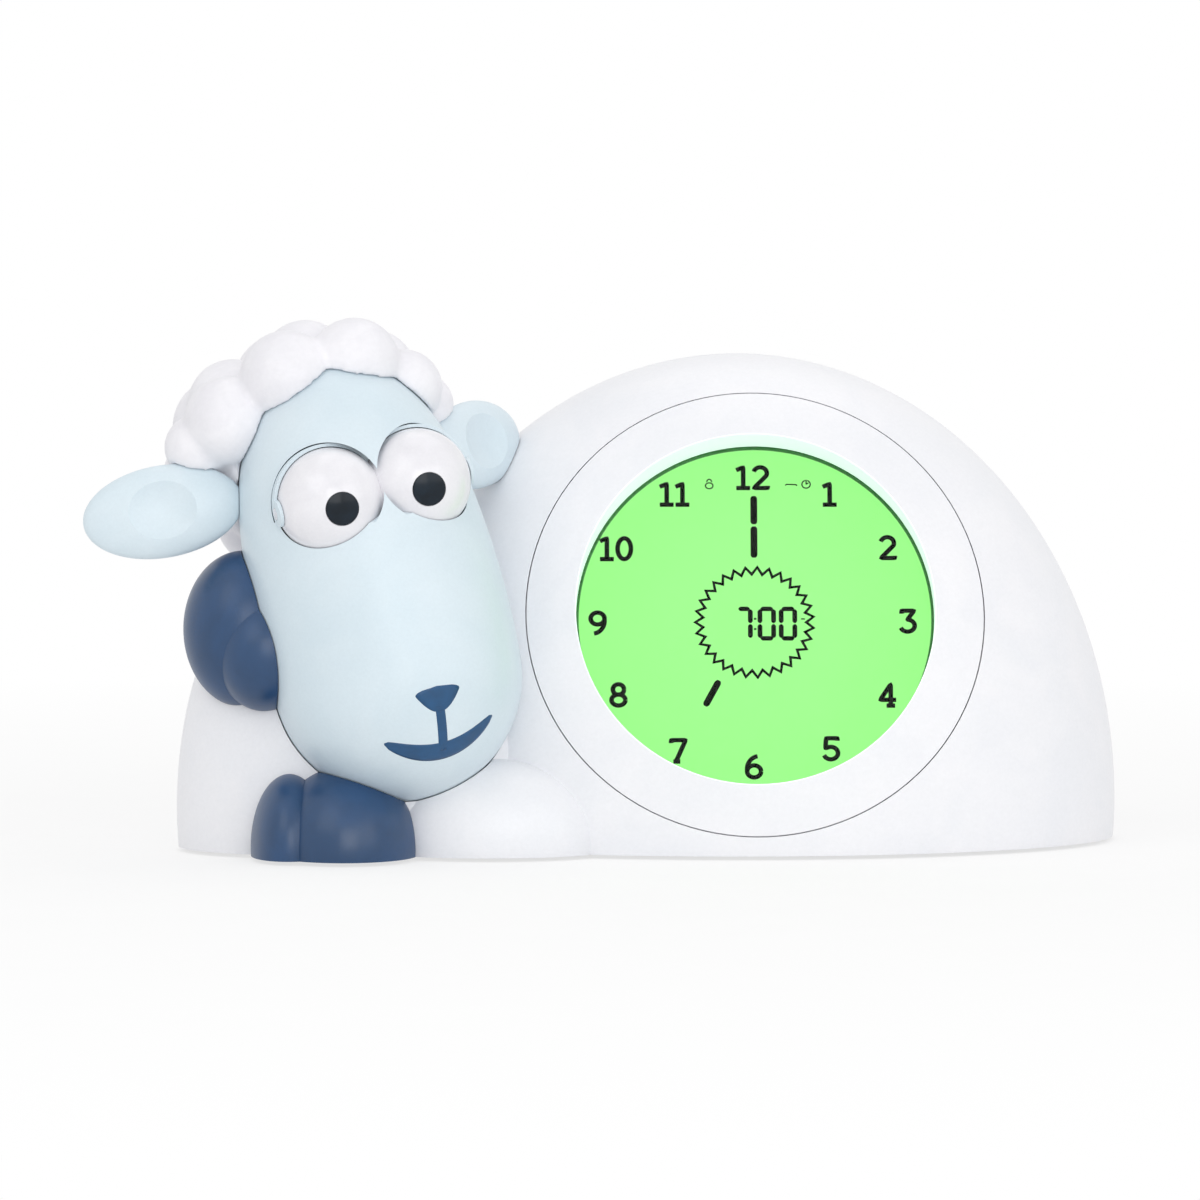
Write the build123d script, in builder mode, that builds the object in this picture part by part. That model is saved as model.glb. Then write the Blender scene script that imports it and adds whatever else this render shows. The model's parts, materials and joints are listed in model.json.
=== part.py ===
"""Sleep trainer clock with a resting sheep: white dome, tilted round dial, blinking eyes, controls on the back."""
import math
import os
from build123d import *

os.makedirs("parts", exist_ok=True)

# Body, millimetres
wall = 2.4
clear = 0.3
fit = 0.15
run_gap = 0.1
floor_z = 1.0
dome_x = 34.5
dome_z = 10.5
dome_rx = 96.4
dome_rz = 113.0
dome_front = 60.0
dome_rear = 42.0
ridge_y = 23.5
back_y = ridge_y + 32.0
panel_in = back_y - wall
arm_x, arm_y, arm_z = -60.0, -8.5, 11.0
arm_rx, arm_ry, arm_rz = 46.0, 28.0, 75.0
leg_x, leg_y, leg_z = -28.0, -25.5, 4.0
leg_rx, leg_ry, leg_rz = 28.0, 16.0, 20.5
upper_toes = [((-88.5, -23.0, 56.5), (15.0, 16.5, 19.5)), ((-83.0, -29.0, 51.0), (12.5, 14.5, 14.5))]
lower_toes = [((-63.0, -33.0, 3.0), (18.0, 21.0, 20.5)), ((-76.5, -32.0, 3.0), (10.0, 18.5, 18.5))]

# Dial
dial_x, dial_y, dial_z = 38.7, -18.0, 60.0
dial_tilt = 18.4
ring_r = 57.0
view_r = 44.7
tube_t = 2.5
ledge_w = 3.5
stack_top = -5.0
window_t = 1.2
lcd_t = 2.8
guide_t = 4.0
cup_in = 48.8
cup_t = 2.4
cup_floor = 2.0
ear_screw_r = 60.0
board_w, board_h, board_t = 78.0, 60.0, 1.6
standoff = 4.0

# Sheep's head: u to the right as seen, v forward, w up
head_x, head_y, head_z = -55.3, -25.5, 65.0
head_roll, head_yaw, head_pitch = 12.0, 18.0, 8.0
egg_r, egg_belly, egg_crown, egg_chin, egg_power = 31.0, -20.0, 60.0, -52.0, 3.5
head_wall = 2.0
eye_r = 13.4
eye_u = 11.3
eye_v = 20.0
eye_w = 23.4
eye_t = 2.6
lid_t = 0.8
lid_gap = 0.2
lid_from, lid_to = 78.0, 188.0
pin_r = 1.5
hub_r = 3.4
pupil_r = 4.1
gear_m = 0.8
lid_teeth, pinion_teeth = 32, 20
gear_w = 2.4
drive_angle = 190.0
motor_r, motor_l = 5.0, 19.0

# Back
bay_x, bay_z = 20.0, 29.0
bay_w, bay_h = 56.0, 45.0
door_over = 1.5
door_t = 2.0
cell_r, cell_l = 7.1, 50.0
cell_pitch = 14.8
key_r, key_out, key_travel = 3.7, 1.2, 0.8
key_xs = [7.0, 18.0, 29.0, 40.0, 51.0, 62.0]
key_z = 62.0
key_names = ["button_clock", "button_alarm", "button_hour", "button_minute", "button_light", "button_sound"]
knob_x, knob_z, knob_travel = 34.5, 74.5, 4.0
keyboard_y = 44.5
speaker_x, speaker_z, speaker_r = 69.0, 29.0, 13.0
usb_x, usb_z, usb_w, usb_h = 73.0, 50.0, 9.0, 3.4


def ellipsoid(plane, rx, ry, rz, seam=90):
    ball = scale(Rot(0, 0, seam) * Sphere(1, mode=Mode.PRIVATE), by=(rx, ry, rz), mode=Mode.PRIVATE)
    return plane.location * ball


def dome_form(inset, depth):
    return ellipsoid(Plane(origin=(dome_x, ridge_y, dome_z)), dome_rx - inset, depth - inset, dome_rz - inset)


def arm_form(inset):
    return ellipsoid(Plane(origin=(arm_x, arm_y, arm_z)), arm_rx - inset, arm_ry - inset, arm_rz - inset)


def hoof_form(grow):
    with BuildPart(mode=Mode.PRIVATE) as toes:
        for (x, y, z), (rx, ry, rz) in upper_toes:
            add(ellipsoid(Plane(origin=(x, y, z)), rx + grow, ry + grow, rz + grow))
    return toes.part


def turned(vector):
    return vector.rotate(Axis.X, -head_pitch).rotate(Axis.Z, head_yaw).rotate(Axis.Y, -head_roll)


head_at = Plane(origin=(head_x, head_y, head_z), x_dir=turned(Vector(1, 0, 0)),
                z_dir=turned(Vector(0, 0, 1))).location
head_u = Vector(1, 0, 0)
head_b = Vector(0, 1, 0)
head_w = Vector(0, 0, 1)


def head_plane(u, v, w, facing="w"):
    normals = {"w": head_w, "v": -head_b, "u": -head_u}
    rights = {"w": head_u, "v": head_u, "u": -head_b}
    return Plane(origin=(u, -v, w), x_dir=rights[facing], z_dir=normals[facing])


def egg_points(grow):
    points = []
    for turn in (90, 84, 75, 60, 45, 30, 15, 0, -15, -30, -45, -60, -75, -84, -90):
        rise = math.sin(math.radians(abs(turn)))
        radius = 0 if abs(turn) == 90 else (egg_r + grow) * math.cos(math.radians(turn))
        if turn > 0:
            points.append((radius, egg_belly + (egg_crown - egg_belly + grow) * rise ** (2 / egg_power)))
        else:
            points.append((radius, egg_belly + (egg_chin - egg_belly - grow) * rise))
    return points


def egg_form(grow):
    skin = egg_points(grow)
    with BuildPart(mode=Mode.PRIVATE) as lathe:
        with BuildSketch(Plane.YZ):
            with BuildLine():
                Spline(*skin)
                Line(skin[-1], skin[0])
            make_face()
        revolve(axis=Axis.Z)
    return lathe.part


def egg_half(side):
    skin = egg_points(0)
    inside = egg_points(-head_wall)
    with BuildPart(mode=Mode.PRIVATE) as lathe:
        with BuildSketch(Plane(origin=(0, 0, 0), x_dir=(side, 0, 0), z_dir=(0, -side, 0))):
            with BuildLine():
                Spline(*skin)
                Line(skin[-1], inside[-1])
                Spline(*inside)
                Line(inside[0], skin[0])
            make_face()
        revolve(axis=Axis.Z, revolution_arc=180)
    return lathe.part


dial = Plane(origin=(dial_x, dial_y, dial_z), x_dir=(1, 0, 0),
             z_dir=(0, -math.cos(math.radians(dial_tilt)), math.sin(math.radians(dial_tilt))))
ridge = Plane(origin=(0, ridge_y, 0), z_dir=(0, 1, 0))
floor_plane = Plane(origin=(0, 0, floor_z))
egg_clear = head_at * egg_form(clear)
egg_socket = head_at * egg_form(clear + wall)



# Fleece curls: rise, count, radius and start angle of each row on the wig form
wig_u, wig_v, wig_w = -4.0, -17.0, 38.0
wig_ru, wig_rv, wig_rw = 24.5, 22.0, 21.5
curl_rows = [(80, 3, 12.5, 30), (40, 7, 13.0, 0), (4, 8, 12.5, 12), (-28, 6, 11.5, 0)]
curl_front = -17.0
front_curls = [(-33.0, -8.5, 46.7, 8.3), (-25.1, -2.7, 50.8, 11.1), (-9.8, 4.3, 57.4, 11.8),
               (7.5, 5.7, 57.1, 11.4), (19.3, 1.8, 48.8, 9.8), (25.6, -7.6, 44.8, 8.1),
               (-19.3, -16.5, 56.1, 11.4), (0.2, -12.3, 61.3, 11.4), (16.0, -11.2, 55.4, 11.3)]


def curl_spots():
    spots = [(head_plane(u, v, w).location, size) for u, v, w, size in front_curls]
    for rise, count, size, shift in curl_rows:
        lift = math.radians(rise)
        for step in range(count):
            turn = math.radians(360.0 * step / count + shift)
            u = wig_u + wig_ru * math.cos(lift) * math.cos(turn)
            v = wig_v + wig_rv * math.cos(lift) * math.sin(turn)
            w = wig_w + wig_rw * math.sin(lift)
            if v < curl_front:
                spots.append((head_plane(u, v, w).location, size))
    return spots


def screw(plane, head_r, head_t, shaft_r, length):
    with BuildPart(mode=Mode.PRIVATE) as made:
        with Locations(plane.location):
            Cylinder(shaft_r, length, align=(Align.CENTER, Align.CENTER, Align.MAX))
            Cylinder(head_r, head_t, align=(Align.CENTER, Align.CENTER, Align.MIN))
            with Locations((0, 0, head_t)):
                Box(head_r * 1.3, head_r * 0.3, head_t, mode=Mode.SUBTRACT)
                Box(head_r * 0.3, head_r * 1.3, head_t, mode=Mode.SUBTRACT)
    return made.part


def bore(plane, radius, depth):
    with BuildPart(mode=Mode.PRIVATE) as made:
        with Locations(plane.location):
            Cylinder(radius, depth, align=(Align.CENTER, Align.CENTER, Align.MAX))
    return made.part


def post(plane, radius, length, limit):
    with BuildPart(mode=Mode.PRIVATE) as made:
        with Locations(plane.location):
            Cylinder(radius, length, align=(Align.CENTER, Align.CENTER, Align.MAX))
        add(limit, mode=Mode.INTERSECT)
    return made.part


# Places of the head's screws: two into the neck socket, three for the drive plate, two for the eyes, two for the wig
neck_spots = [(-9.0, -12.0), (9.0, -12.0)]
neck_end = -19.0
neck_seat = -32.0
plate_front, plate_t = -13.0, 2.0
plate_mid_w = eye_w - 5.0
plate_spots = [(-8.0, plate_mid_w - 11.0), (8.0, plate_mid_w - 11.0), (0.0, plate_mid_w + 12.0)]
eye_post_w = eye_w - 11.5
eye_post_r = 1.8
wig_spots = [(-10.0, 36.0), (10.0, 36.0)]
wig_screw_v = -21.6
small_r = 1.0
neck_r = 1.5
lid_in = eye_r + lid_gap
lid_out = lid_in + lid_t
sweep_r = lid_out + clear
axis_mid = head_plane(0, eye_v, eye_w, "u")
egg_mid = egg_form(-0.8)


def eye_balls(radius):
    with BuildPart(mode=Mode.PRIVATE) as pair:
        for side in (-1, 1):
            with Locations(head_plane(side * eye_u, eye_v, eye_w, "u").location):
                Sphere(radius)
    return pair.part


def arc_point(radius, angle):
    turn = math.radians(angle)
    return (radius * math.cos(turn), radius * math.sin(turn))


# Face: pale blue front of the egg, opened for the eyes and the stowed lids
def lid_room(mid_angle):
    turn = math.radians(mid_angle)
    with BuildPart(mode=Mode.PRIVATE) as room:
        add(eye_balls(sweep_r))
        split(bisect_by=Plane(origin=axis_mid.origin, z_dir=head_w * math.sin(turn) - head_b * math.cos(turn)),
              keep=Keep.TOP)
    return room.part


with BuildPart() as face_shell:
    add(egg_half(-1))
    add(eye_balls(eye_r + clear), mode=Mode.SUBTRACT)
    add(lid_room(50), mode=Mode.SUBTRACT)
    add(lid_room(108), mode=Mode.SUBTRACT)
    with Locations(axis_mid.location):
        Cylinder(hub_r + clear, 2 * (eye_u + sweep_r), mode=Mode.SUBTRACT)

# Fleece: white wig round the crown and the back of the head, screwed on from inside
with BuildPart() as fleece:
    add(ellipsoid(head_plane(wig_u, wig_v, wig_w), wig_ru + 2, wig_rv + 2, wig_rw + 2))
    for spot, size in curl_spots():
        with Locations(spot):
            Sphere(size)
    add(egg_form(fit), mode=Mode.SUBTRACT)
    for su, sw in wig_spots:
        add(bore(head_plane(su, wig_screw_v, sw, "v"), small_r, 16), mode=Mode.SUBTRACT)

# Rear half of the head with its bosses
with BuildPart() as head_back:
    add(egg_half(1))
    for su, sw in neck_spots:
        add(post(head_plane(su, neck_end, sw, "v"), 4.0, 30, egg_mid))
    for su, sw in plate_spots:
        add(post(head_plane(su, plate_front - plate_t, sw, "v"), 3.0, 30, egg_mid))
    for su, sw in neck_spots:
        add(bore(head_plane(su, neck_end - 2, sw, "v"), neck_r, 30), mode=Mode.SUBTRACT)
    for su, sw in plate_spots:
        add(bore(head_plane(su, plate_front, sw, "v"), small_r, 8), mode=Mode.SUBTRACT)
    for su, sw in wig_spots:
        add(bore(head_plane(su, wig_screw_v, sw, "v"), small_r + fit, 16), mode=Mode.SUBTRACT)
        add(bore(head_plane(su, wig_screw_v + 3, sw, "v"), 2.3, 3), mode=Mode.SUBTRACT)

# Eyeballs: one hollow moulding with two posts back to the drive plate and a pivot pin at each outer pole
pupil_drop = 16.0
pupil_turn = 4.0
pupil_in = 0.5
look = head_w * -math.sin(math.radians(pupil_drop)) - head_b * math.cos(math.radians(pupil_drop))
look = look.rotate(Axis.Z, -pupil_turn)


def pupil_plane(side):
    return Plane(origin=head_plane(side * eye_u, eye_v, eye_w).origin, x_dir=head_u, z_dir=look)


with BuildPart() as eyeballs:
    add(eye_balls(eye_r))
    add(eye_balls(eye_r - eye_t), mode=Mode.SUBTRACT)
    split(bisect_by=head_plane(0, eye_v - 5, eye_w, "v"), keep=Keep.TOP)
    for side in (-1, 1):
        with Locations(head_plane(side * eye_u, eye_v - 3, eye_post_w, "v").location):
            Cylinder(eye_post_r, eye_v - 3 - plate_front, align=(Align.CENTER, Align.CENTER, Align.MAX))
        with Locations(head_plane(side * eye_u, plate_front, eye_post_w, "v").location):
            Cylinder(small_r, 10, align=(Align.CENTER, Align.CENTER, Align.MIN), mode=Mode.SUBTRACT)
        with Locations(head_plane(side * (eye_u + eye_r - 1), eye_v, eye_w, "u").location):
            Cylinder(pin_r, 2 * (1 + lid_gap + lid_t))
        with Locations(pupil_plane(side).location):
            with Locations((0, 0, eye_r)):
                Cylinder(pupil_r + fit, 2.6, mode=Mode.SUBTRACT)

# Pupils: dark inlays, flush with the eyeballs
with BuildPart() as pupils:
    for side in (-1, 1):
        with Locations(pupil_plane(side).location):
            with Locations((0, 0, eye_r - 1.3)):
                Cylinder(pupil_r, 4, align=(Align.CENTER, Align.CENTER, Align.MIN))
    add(eye_balls(eye_r), mode=Mode.INTERSECT)


def gear_profile(teeth, first, count, module, core, tail=0.0, end=0.0):
    pitch = 360.0 / teeth
    radius = module * teeth / 2
    root = radius - 1.1 * module
    tip = radius + 0.75 * module
    points = []
    for step in range(count):
        mid = first + step * pitch
        points += [arc_point(root, mid - 0.30 * pitch), arc_point(radius, mid - 0.19 * pitch),
                   arc_point(tip, mid - 0.09 * pitch), arc_point(tip, mid + 0.09 * pitch),
                   arc_point(radius, mid + 0.19 * pitch), arc_point(root, mid + 0.30 * pitch)]
    if core > 0:
        last = first + (count - 1) * pitch
        steps = 12
        points = [arc_point(root, first - tail)] + points + [arc_point(root, last + end)]
        for step in range(steps + 1):
            points.append(arc_point(core, last + end - (last + end - first + tail) * step / steps))
    return points


# Eyelids: two shells in one moulding, turning on the eyeballs' pins, with a toothed sector between the eyes
lid_pitch = 360.0 / lid_teeth
sector_first = drive_angle - 0.5 * lid_pitch
sector_count = 11
sector_core = 9.3
sector_tail, sector_end = 7.5, 6.0
gear_gap = gear_m * (lid_teeth + pinion_teeth) / 2
with BuildPart() as lid_zone:
    with BuildSketch(axis_mid):
        with BuildLine():
            Polyline((0, 0), *[arc_point(40, lid_from + (lid_to - lid_from) * n / 6) for n in range(7)], close=True)
        make_face()
    extrude(amount=40, both=True)
    with Locations(axis_mid.location):
        Cylinder(hub_r, 80)
with BuildPart() as eyelids:
    add(eye_balls(lid_out))
    add(eye_balls(lid_in), mode=Mode.SUBTRACT)
    add(lid_zone.part, mode=Mode.INTERSECT)
    with Locations(axis_mid.location):
        Cylinder(pin_r + run_gap, 80, mode=Mode.SUBTRACT)
    with BuildSketch(axis_mid):
        with BuildLine():
            Polyline(*gear_profile(lid_teeth, sector_first, sector_count, gear_m, sector_core, sector_tail, sector_end),
                     close=True)
        make_face()
    extrude(amount=gear_w / 2, both=True)

# Drive pinion with its shaft, gear motor and the plate that carries motor and eyes
drive = math.radians(drive_angle)
drive_v = eye_v + gear_gap * math.cos(drive)
drive_w = eye_w + gear_gap * math.sin(drive)
pinion_plane = head_plane(0, drive_v, drive_w, "u")
shaft_r = 1.0
motor_from = 3.0
with BuildPart() as drive_pinion:
    with BuildSketch(pinion_plane):
        with BuildLine():
            Polyline(*gear_profile(pinion_teeth, drive_angle + 180, pinion_teeth, gear_m, 0), close=True)
        make_face()
    extrude(amount=gear_w / 2, both=True)
    with Locations(head_plane(gear_w / 2, drive_v, drive_w, "u").location):
        Cylinder(shaft_r, 6.0, align=(Align.CENTER, Align.CENTER, Align.MAX))
with BuildPart() as gear_motor:
    with Locations(head_plane(motor_from, drive_v, drive_w, "u").location):
        Cylinder(motor_r, motor_l, align=(Align.CENTER, Align.CENTER, Align.MAX))
        Cylinder(shaft_r + run_gap, gear_w / 2 + 6.5 - motor_from, align=(Align.CENTER, Align.CENTER, Align.MAX),
                 mode=Mode.SUBTRACT)
with BuildPart() as mechanism_plate:
    with BuildSketch(head_plane(0, plate_front, plate_mid_w, "v")):
        RectangleRounded(30, 30, 3)
    extrude(amount=-plate_t)
    with Locations(head_plane(motor_from + 6, (plate_front + drive_v) / 2, drive_w, "v").location):
        Box(9, 2 * (motor_r + 1), drive_v - plate_front)
    add(bore(head_plane(motor_from - 1, drive_v, drive_w, "u"), motor_r, motor_l + 2), mode=Mode.SUBTRACT)
    for su, sw in plate_spots:
        add(bore(head_plane(su, plate_front + 1, sw, "v"), small_r, 4), mode=Mode.SUBTRACT)
    for side in (-1, 1):
        add(bore(head_plane(side * eye_u, plate_front + 1, eye_post_w, "v"), small_r, 4), mode=Mode.SUBTRACT)
with BuildPart() as mechanism_screws:
    for su, sw in plate_spots:
        add(screw(head_plane(su, plate_front, sw, "v"), 2.0, 1.2, small_r, 7.5))
    for side in (-1, 1):
        rear = head_plane(side * eye_u, plate_front - plate_t, eye_post_w, "v")
        add(screw(Plane(origin=rear.origin, x_dir=rear.x_dir, z_dir=-rear.z_dir), 2.0, 1.2, small_r, 9.0))
with BuildPart() as wig_screws:
    for su, sw in wig_spots:
        add(screw(head_plane(su, wig_screw_v, sw, "v"), 2.0, 1.2, small_r, 13.0))


# Ears: scooped leaves seated on the head and let into the fleece
ear_spot = {-1: (45.5, -9.0, 33.0), 1: (37.5, -12.0, 32.5)}
ear_size = {-1: (20.0, 5.0, 11.5), 1: (18.5, 5.0, 11.0)}
ear_lift = {-1: 4.0, 1: 8.0}
ear_sweep = {-1: 14.0, 1: 36.0}
dish_r, dish_depth = 18.0, 2.6
ear_seam = {-1: 180, 1: 90}


def ear_plane(side, forward):
    lift = math.radians(ear_lift[side])
    back = math.radians(ear_sweep[side])
    ear_u, ear_v, ear_w = ear_spot[side]
    out = head_u * side * math.cos(lift) * math.cos(back) + head_w * math.sin(lift) + head_b * math.sin(back)
    up = (head_w - out * out.dot(head_w)).normalized()
    ahead = (out.cross(up) * side).normalized()
    origin = head_plane(side * ear_u, ear_v, ear_w).origin + ahead * forward
    return Plane(origin=origin, x_dir=out, z_dir=up)


ears = {}
for side, ear_name in ((-1, "ear_left"), (1, "ear_right")):
    ear_rl, ear_rt, ear_rh = ear_size[side]
    with BuildPart() as ear:
        add(ellipsoid(ear_plane(side, 0), ear_rl, ear_rt, ear_rh, ear_seam[side]))
        with Locations(ear_plane(side, ear_rt + dish_r - dish_depth).location):
            Sphere(dish_r, mode=Mode.SUBTRACT)
        add(egg_form(fit), mode=Mode.SUBTRACT)
    ears[ear_name] = ear.part
with BuildPart() as fleece_eared:
    add(fleece.part)
    for side in (-1, 1):
        ear_rl, ear_rt, ear_rh = ear_size[side]
        add(ellipsoid(ear_plane(side, 0), ear_rl + fit, ear_rt + fit, ear_rh + fit, ear_seam[side]),
            mode=Mode.SUBTRACT)
with BuildPart() as fleece_set:
    add(head_at * fleece_eared.part)
    add(dome_form(-clear, dome_front), mode=Mode.SUBTRACT)
    add(arm_form(-clear), mode=Mode.SUBTRACT)
    add(hoof_form(clear), mode=Mode.SUBTRACT)
with BuildPart() as ear_right_set:
    add(head_at * ears["ear_right"])
    add(dome_form(-clear, dome_front), mode=Mode.SUBTRACT)

# Body forms shared by the shells, the base and what stands against them
with BuildPart() as body_outer:
    add(dome_form(0, dome_front))
    split(bisect_by=ridge, keep=Keep.BOTTOM)
    add(arm_form(0))
    add(ellipsoid(Plane(origin=(leg_x, leg_y, leg_z)), leg_rx, leg_ry, leg_rz))


def dial_disc(r_out, r_in, low, high):
    with BuildPart(mode=Mode.PRIVATE) as made:
        with BuildSketch(dial.offset(low)):
            Circle(r_out)
            if r_in > 0:
                Circle(r_in, mode=Mode.SUBTRACT)
        extrude(amount=high - low)
    return made.part


def block(centre, size, limit):
    with BuildPart(mode=Mode.PRIVATE) as made:
        with Locations(centre):
            Box(*size)
        add(limit, mode=Mode.INTERSECT)
    return made.part


def y_plane(x, y, z):
    return Plane(origin=(x, y, z), x_dir=(-1, 0, 0), z_dir=(0, 1, 0))


def dial_spot(radius, angle, height):
    turn = math.radians(angle)
    origin = dial.origin + dial.x_dir * radius * math.cos(turn) + dial.y_dir * radius * math.sin(turn)
    return Plane(origin=origin + dial.z_dir * height, x_dir=dial.x_dir, z_dir=dial.z_dir)


# Levels of the dial stack along the dial's axis
lcd_top = stack_top - window_t
guide_top = lcd_top - lcd_t
guide_low = guide_top - guide_t
cup_low = guide_low - cup_floor
board_top = cup_low - standoff
carrier_angles = [28, 152, 205, 335]
carrier_boss = -13.0
lug_t = 2.0
shell_spots = [(-20.0, 20.0), (91.0, 20.0), (-20.0, 76.0), (97.0, 74.0)]
shell_boss_r, shell_hole_r, shell_screw_r = 4.2, 1.9, 1.5
shell_screw_y = ridge_y + 9.0
base_spots = [(5.0, -24.0), (62.0, -24.0), (5.0, 31.0), (88.0, 44.0)]
base_low, base_t = 1.4, 2.0
base_top = base_low + base_t
base_boss_h = 14.0
foot_r, foot_t = 6.0, 1.9
foot_spots = [(-72.0, -10.0), (94.0, -6.0), (-24.0, 34.0), (106.0, 28.0)]
hoof_pegs = [(-68.0, -42.0, 9.0), (-88.0, -30.0, 50.0)]
peg_r, peg_l = 3.0, 14.0
seat_ring = ring_r + clear
ledge_in = ring_r - ledge_w


def base_form(inset, low, high):
    dome_flat = math.sqrt(1 - ((dome_z - base_low) / (dome_rz - inset)) ** 2)
    arm_flat = math.sqrt(1 - ((arm_z - base_low) / (arm_rz - inset)) ** 2)
    long_r = (dome_rx - inset) * dome_flat
    with BuildPart(mode=Mode.PRIVATE) as made:
        with BuildSketch(Plane(origin=(0, 0, low))):
            with Locations((dome_x, ridge_y)):
                Ellipse(long_r, (dome_front - inset) * dome_flat)
                Rectangle(2 * dome_rx, 2 * dome_rx, align=(Align.CENTER, Align.MIN), mode=Mode.SUBTRACT)
            with Locations((dome_x, ridge_y)):
                Ellipse(long_r, (dome_rear - inset) * dome_flat)
            with Locations((dome_x, back_y - inset)):
                Rectangle(2 * dome_rx, dome_rx, align=(Align.CENTER, Align.MIN), mode=Mode.SUBTRACT)
            with Locations((arm_x, arm_y)):
                Ellipse((arm_rx - inset) * arm_flat, (arm_ry - inset) * arm_flat)
        extrude(amount=high - low)
    return made.part


# Hollow of the front: leaves the ledge under the dial ring and the socket behind the head
with BuildPart() as hollow:
    add(dome_form(wall, dome_front))
    add(dial_disc(ring_r + 3, ledge_in, -40, 40), mode=Mode.SUBTRACT)
    add(dome_form(2 * wall, dome_front))
    add(arm_form(wall))
    add(egg_socket, mode=Mode.SUBTRACT)
with BuildPart() as shell_limit:
    add(dome_form(1, dome_front))
    split(bisect_by=ridge, keep=Keep.BOTTOM)
with BuildPart() as seat:
    add(dial_disc(seat_ring, 0, -40, 40))
    add(dome_form(wall, dome_front), mode=Mode.SUBTRACT)
with BuildPart() as front_shell:
    add(body_outer.part)
    add(hollow.part, mode=Mode.SUBTRACT)
    for x, z in shell_spots:
        add(post(y_plane(x, ridge_y, z), shell_boss_r, 60, shell_limit.part))
    for angle in carrier_angles:
        boss = dial_spot(ear_screw_r, angle, carrier_boss + 25)
        add(post(boss, 3.4, 25, shell_limit.part))
    for x, y in base_spots[:2]:
        add(post(Plane(origin=(x, y, base_top + base_boss_h)), 4.0, base_boss_h, shell_limit.part))
        add(block((x, y - 8, base_top + base_boss_h / 2), (3, 16, base_boss_h), shell_limit.part))
    split(bisect_by=floor_plane, keep=Keep.TOP)
    add(base_form(wall + fit, 0, base_top), mode=Mode.SUBTRACT)
    add(egg_clear, mode=Mode.SUBTRACT)
    add(dial_disc(ledge_in, 0, -40, 40), mode=Mode.SUBTRACT)
    add(seat.part, mode=Mode.SUBTRACT)
    for x, z in shell_spots:
        add(bore(y_plane(x, ridge_y, z), shell_screw_r, 12), mode=Mode.SUBTRACT)
    for angle in carrier_angles:
        low = dial_spot(ear_screw_r, angle, carrier_boss)
        flipped = Plane(origin=low.origin, x_dir=low.x_dir, z_dir=-low.z_dir)
        add(bore(flipped, small_r, 4), mode=Mode.SUBTRACT)
    for x, y in base_spots[:2]:
        up = Plane(origin=(x, y, base_top), z_dir=(0, 0, -1))
        add(bore(up, small_r, 9), mode=Mode.SUBTRACT)
    for su, sw in neck_spots:
        add(head_at * bore(head_plane(su, -20, sw, "v"), neck_r + fit, 20), mode=Mode.SUBTRACT)
        add(head_at * bore(head_plane(su, neck_seat, sw, "v"), 3.2, 12), mode=Mode.SUBTRACT)
    for x, y, z in hoof_pegs:
        add(bore(y_plane(x, y + 18, z), peg_r, 18), mode=Mode.SUBTRACT)
with BuildPart() as neck_screws:
    for su, sw in neck_spots:
        rear = head_plane(su, neck_seat, sw, "v")
        add(screw(Plane(origin=rear.origin, x_dir=rear.x_dir, z_dir=-rear.z_dir), 2.8, 1.6, neck_r, 10.5))

# Hooves: dark blue mouldings pegged into the front shell
with BuildPart() as hoof_lower:
    for toe_at, (toe_rx, toe_ry, toe_rz) in lower_toes:
        add(ellipsoid(Plane(origin=toe_at), toe_rx, toe_ry, toe_rz))
    split(bisect_by=floor_plane, keep=Keep.TOP)
    add(egg_clear, mode=Mode.SUBTRACT)
    add(arm_form(-fit), mode=Mode.SUBTRACT)
    add(ellipsoid(Plane(origin=(leg_x, leg_y, leg_z)), leg_rx + fit, leg_ry + fit, leg_rz + fit), mode=Mode.SUBTRACT)
    add(bore(y_plane(hoof_pegs[0][0], hoof_pegs[0][1] + peg_l, hoof_pegs[0][2]), peg_r, peg_l))
with BuildPart() as hoof_upper:
    add(hoof_form(0))
    add(egg_clear, mode=Mode.SUBTRACT)
    add(arm_form(-fit), mode=Mode.SUBTRACT)
    add(bore(y_plane(hoof_pegs[1][0], hoof_pegs[1][1] + peg_l, hoof_pegs[1][2]), peg_r, peg_l))

# Dial ring, flush with the dome, on the window's rim
with BuildPart() as ring_hollow:
    add(dial_disc(ring_r + 1, view_r + tube_t, -40, 40))
    add(dome_form(wall - fit, dome_front), mode=Mode.INTERSECT)
with BuildPart() as dial_bezel:
    add(dial_disc(ring_r, view_r, stack_top, 25))
    add(dome_form(0, dome_front), mode=Mode.INTERSECT)
    add(ring_hollow.part, mode=Mode.SUBTRACT)

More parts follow.
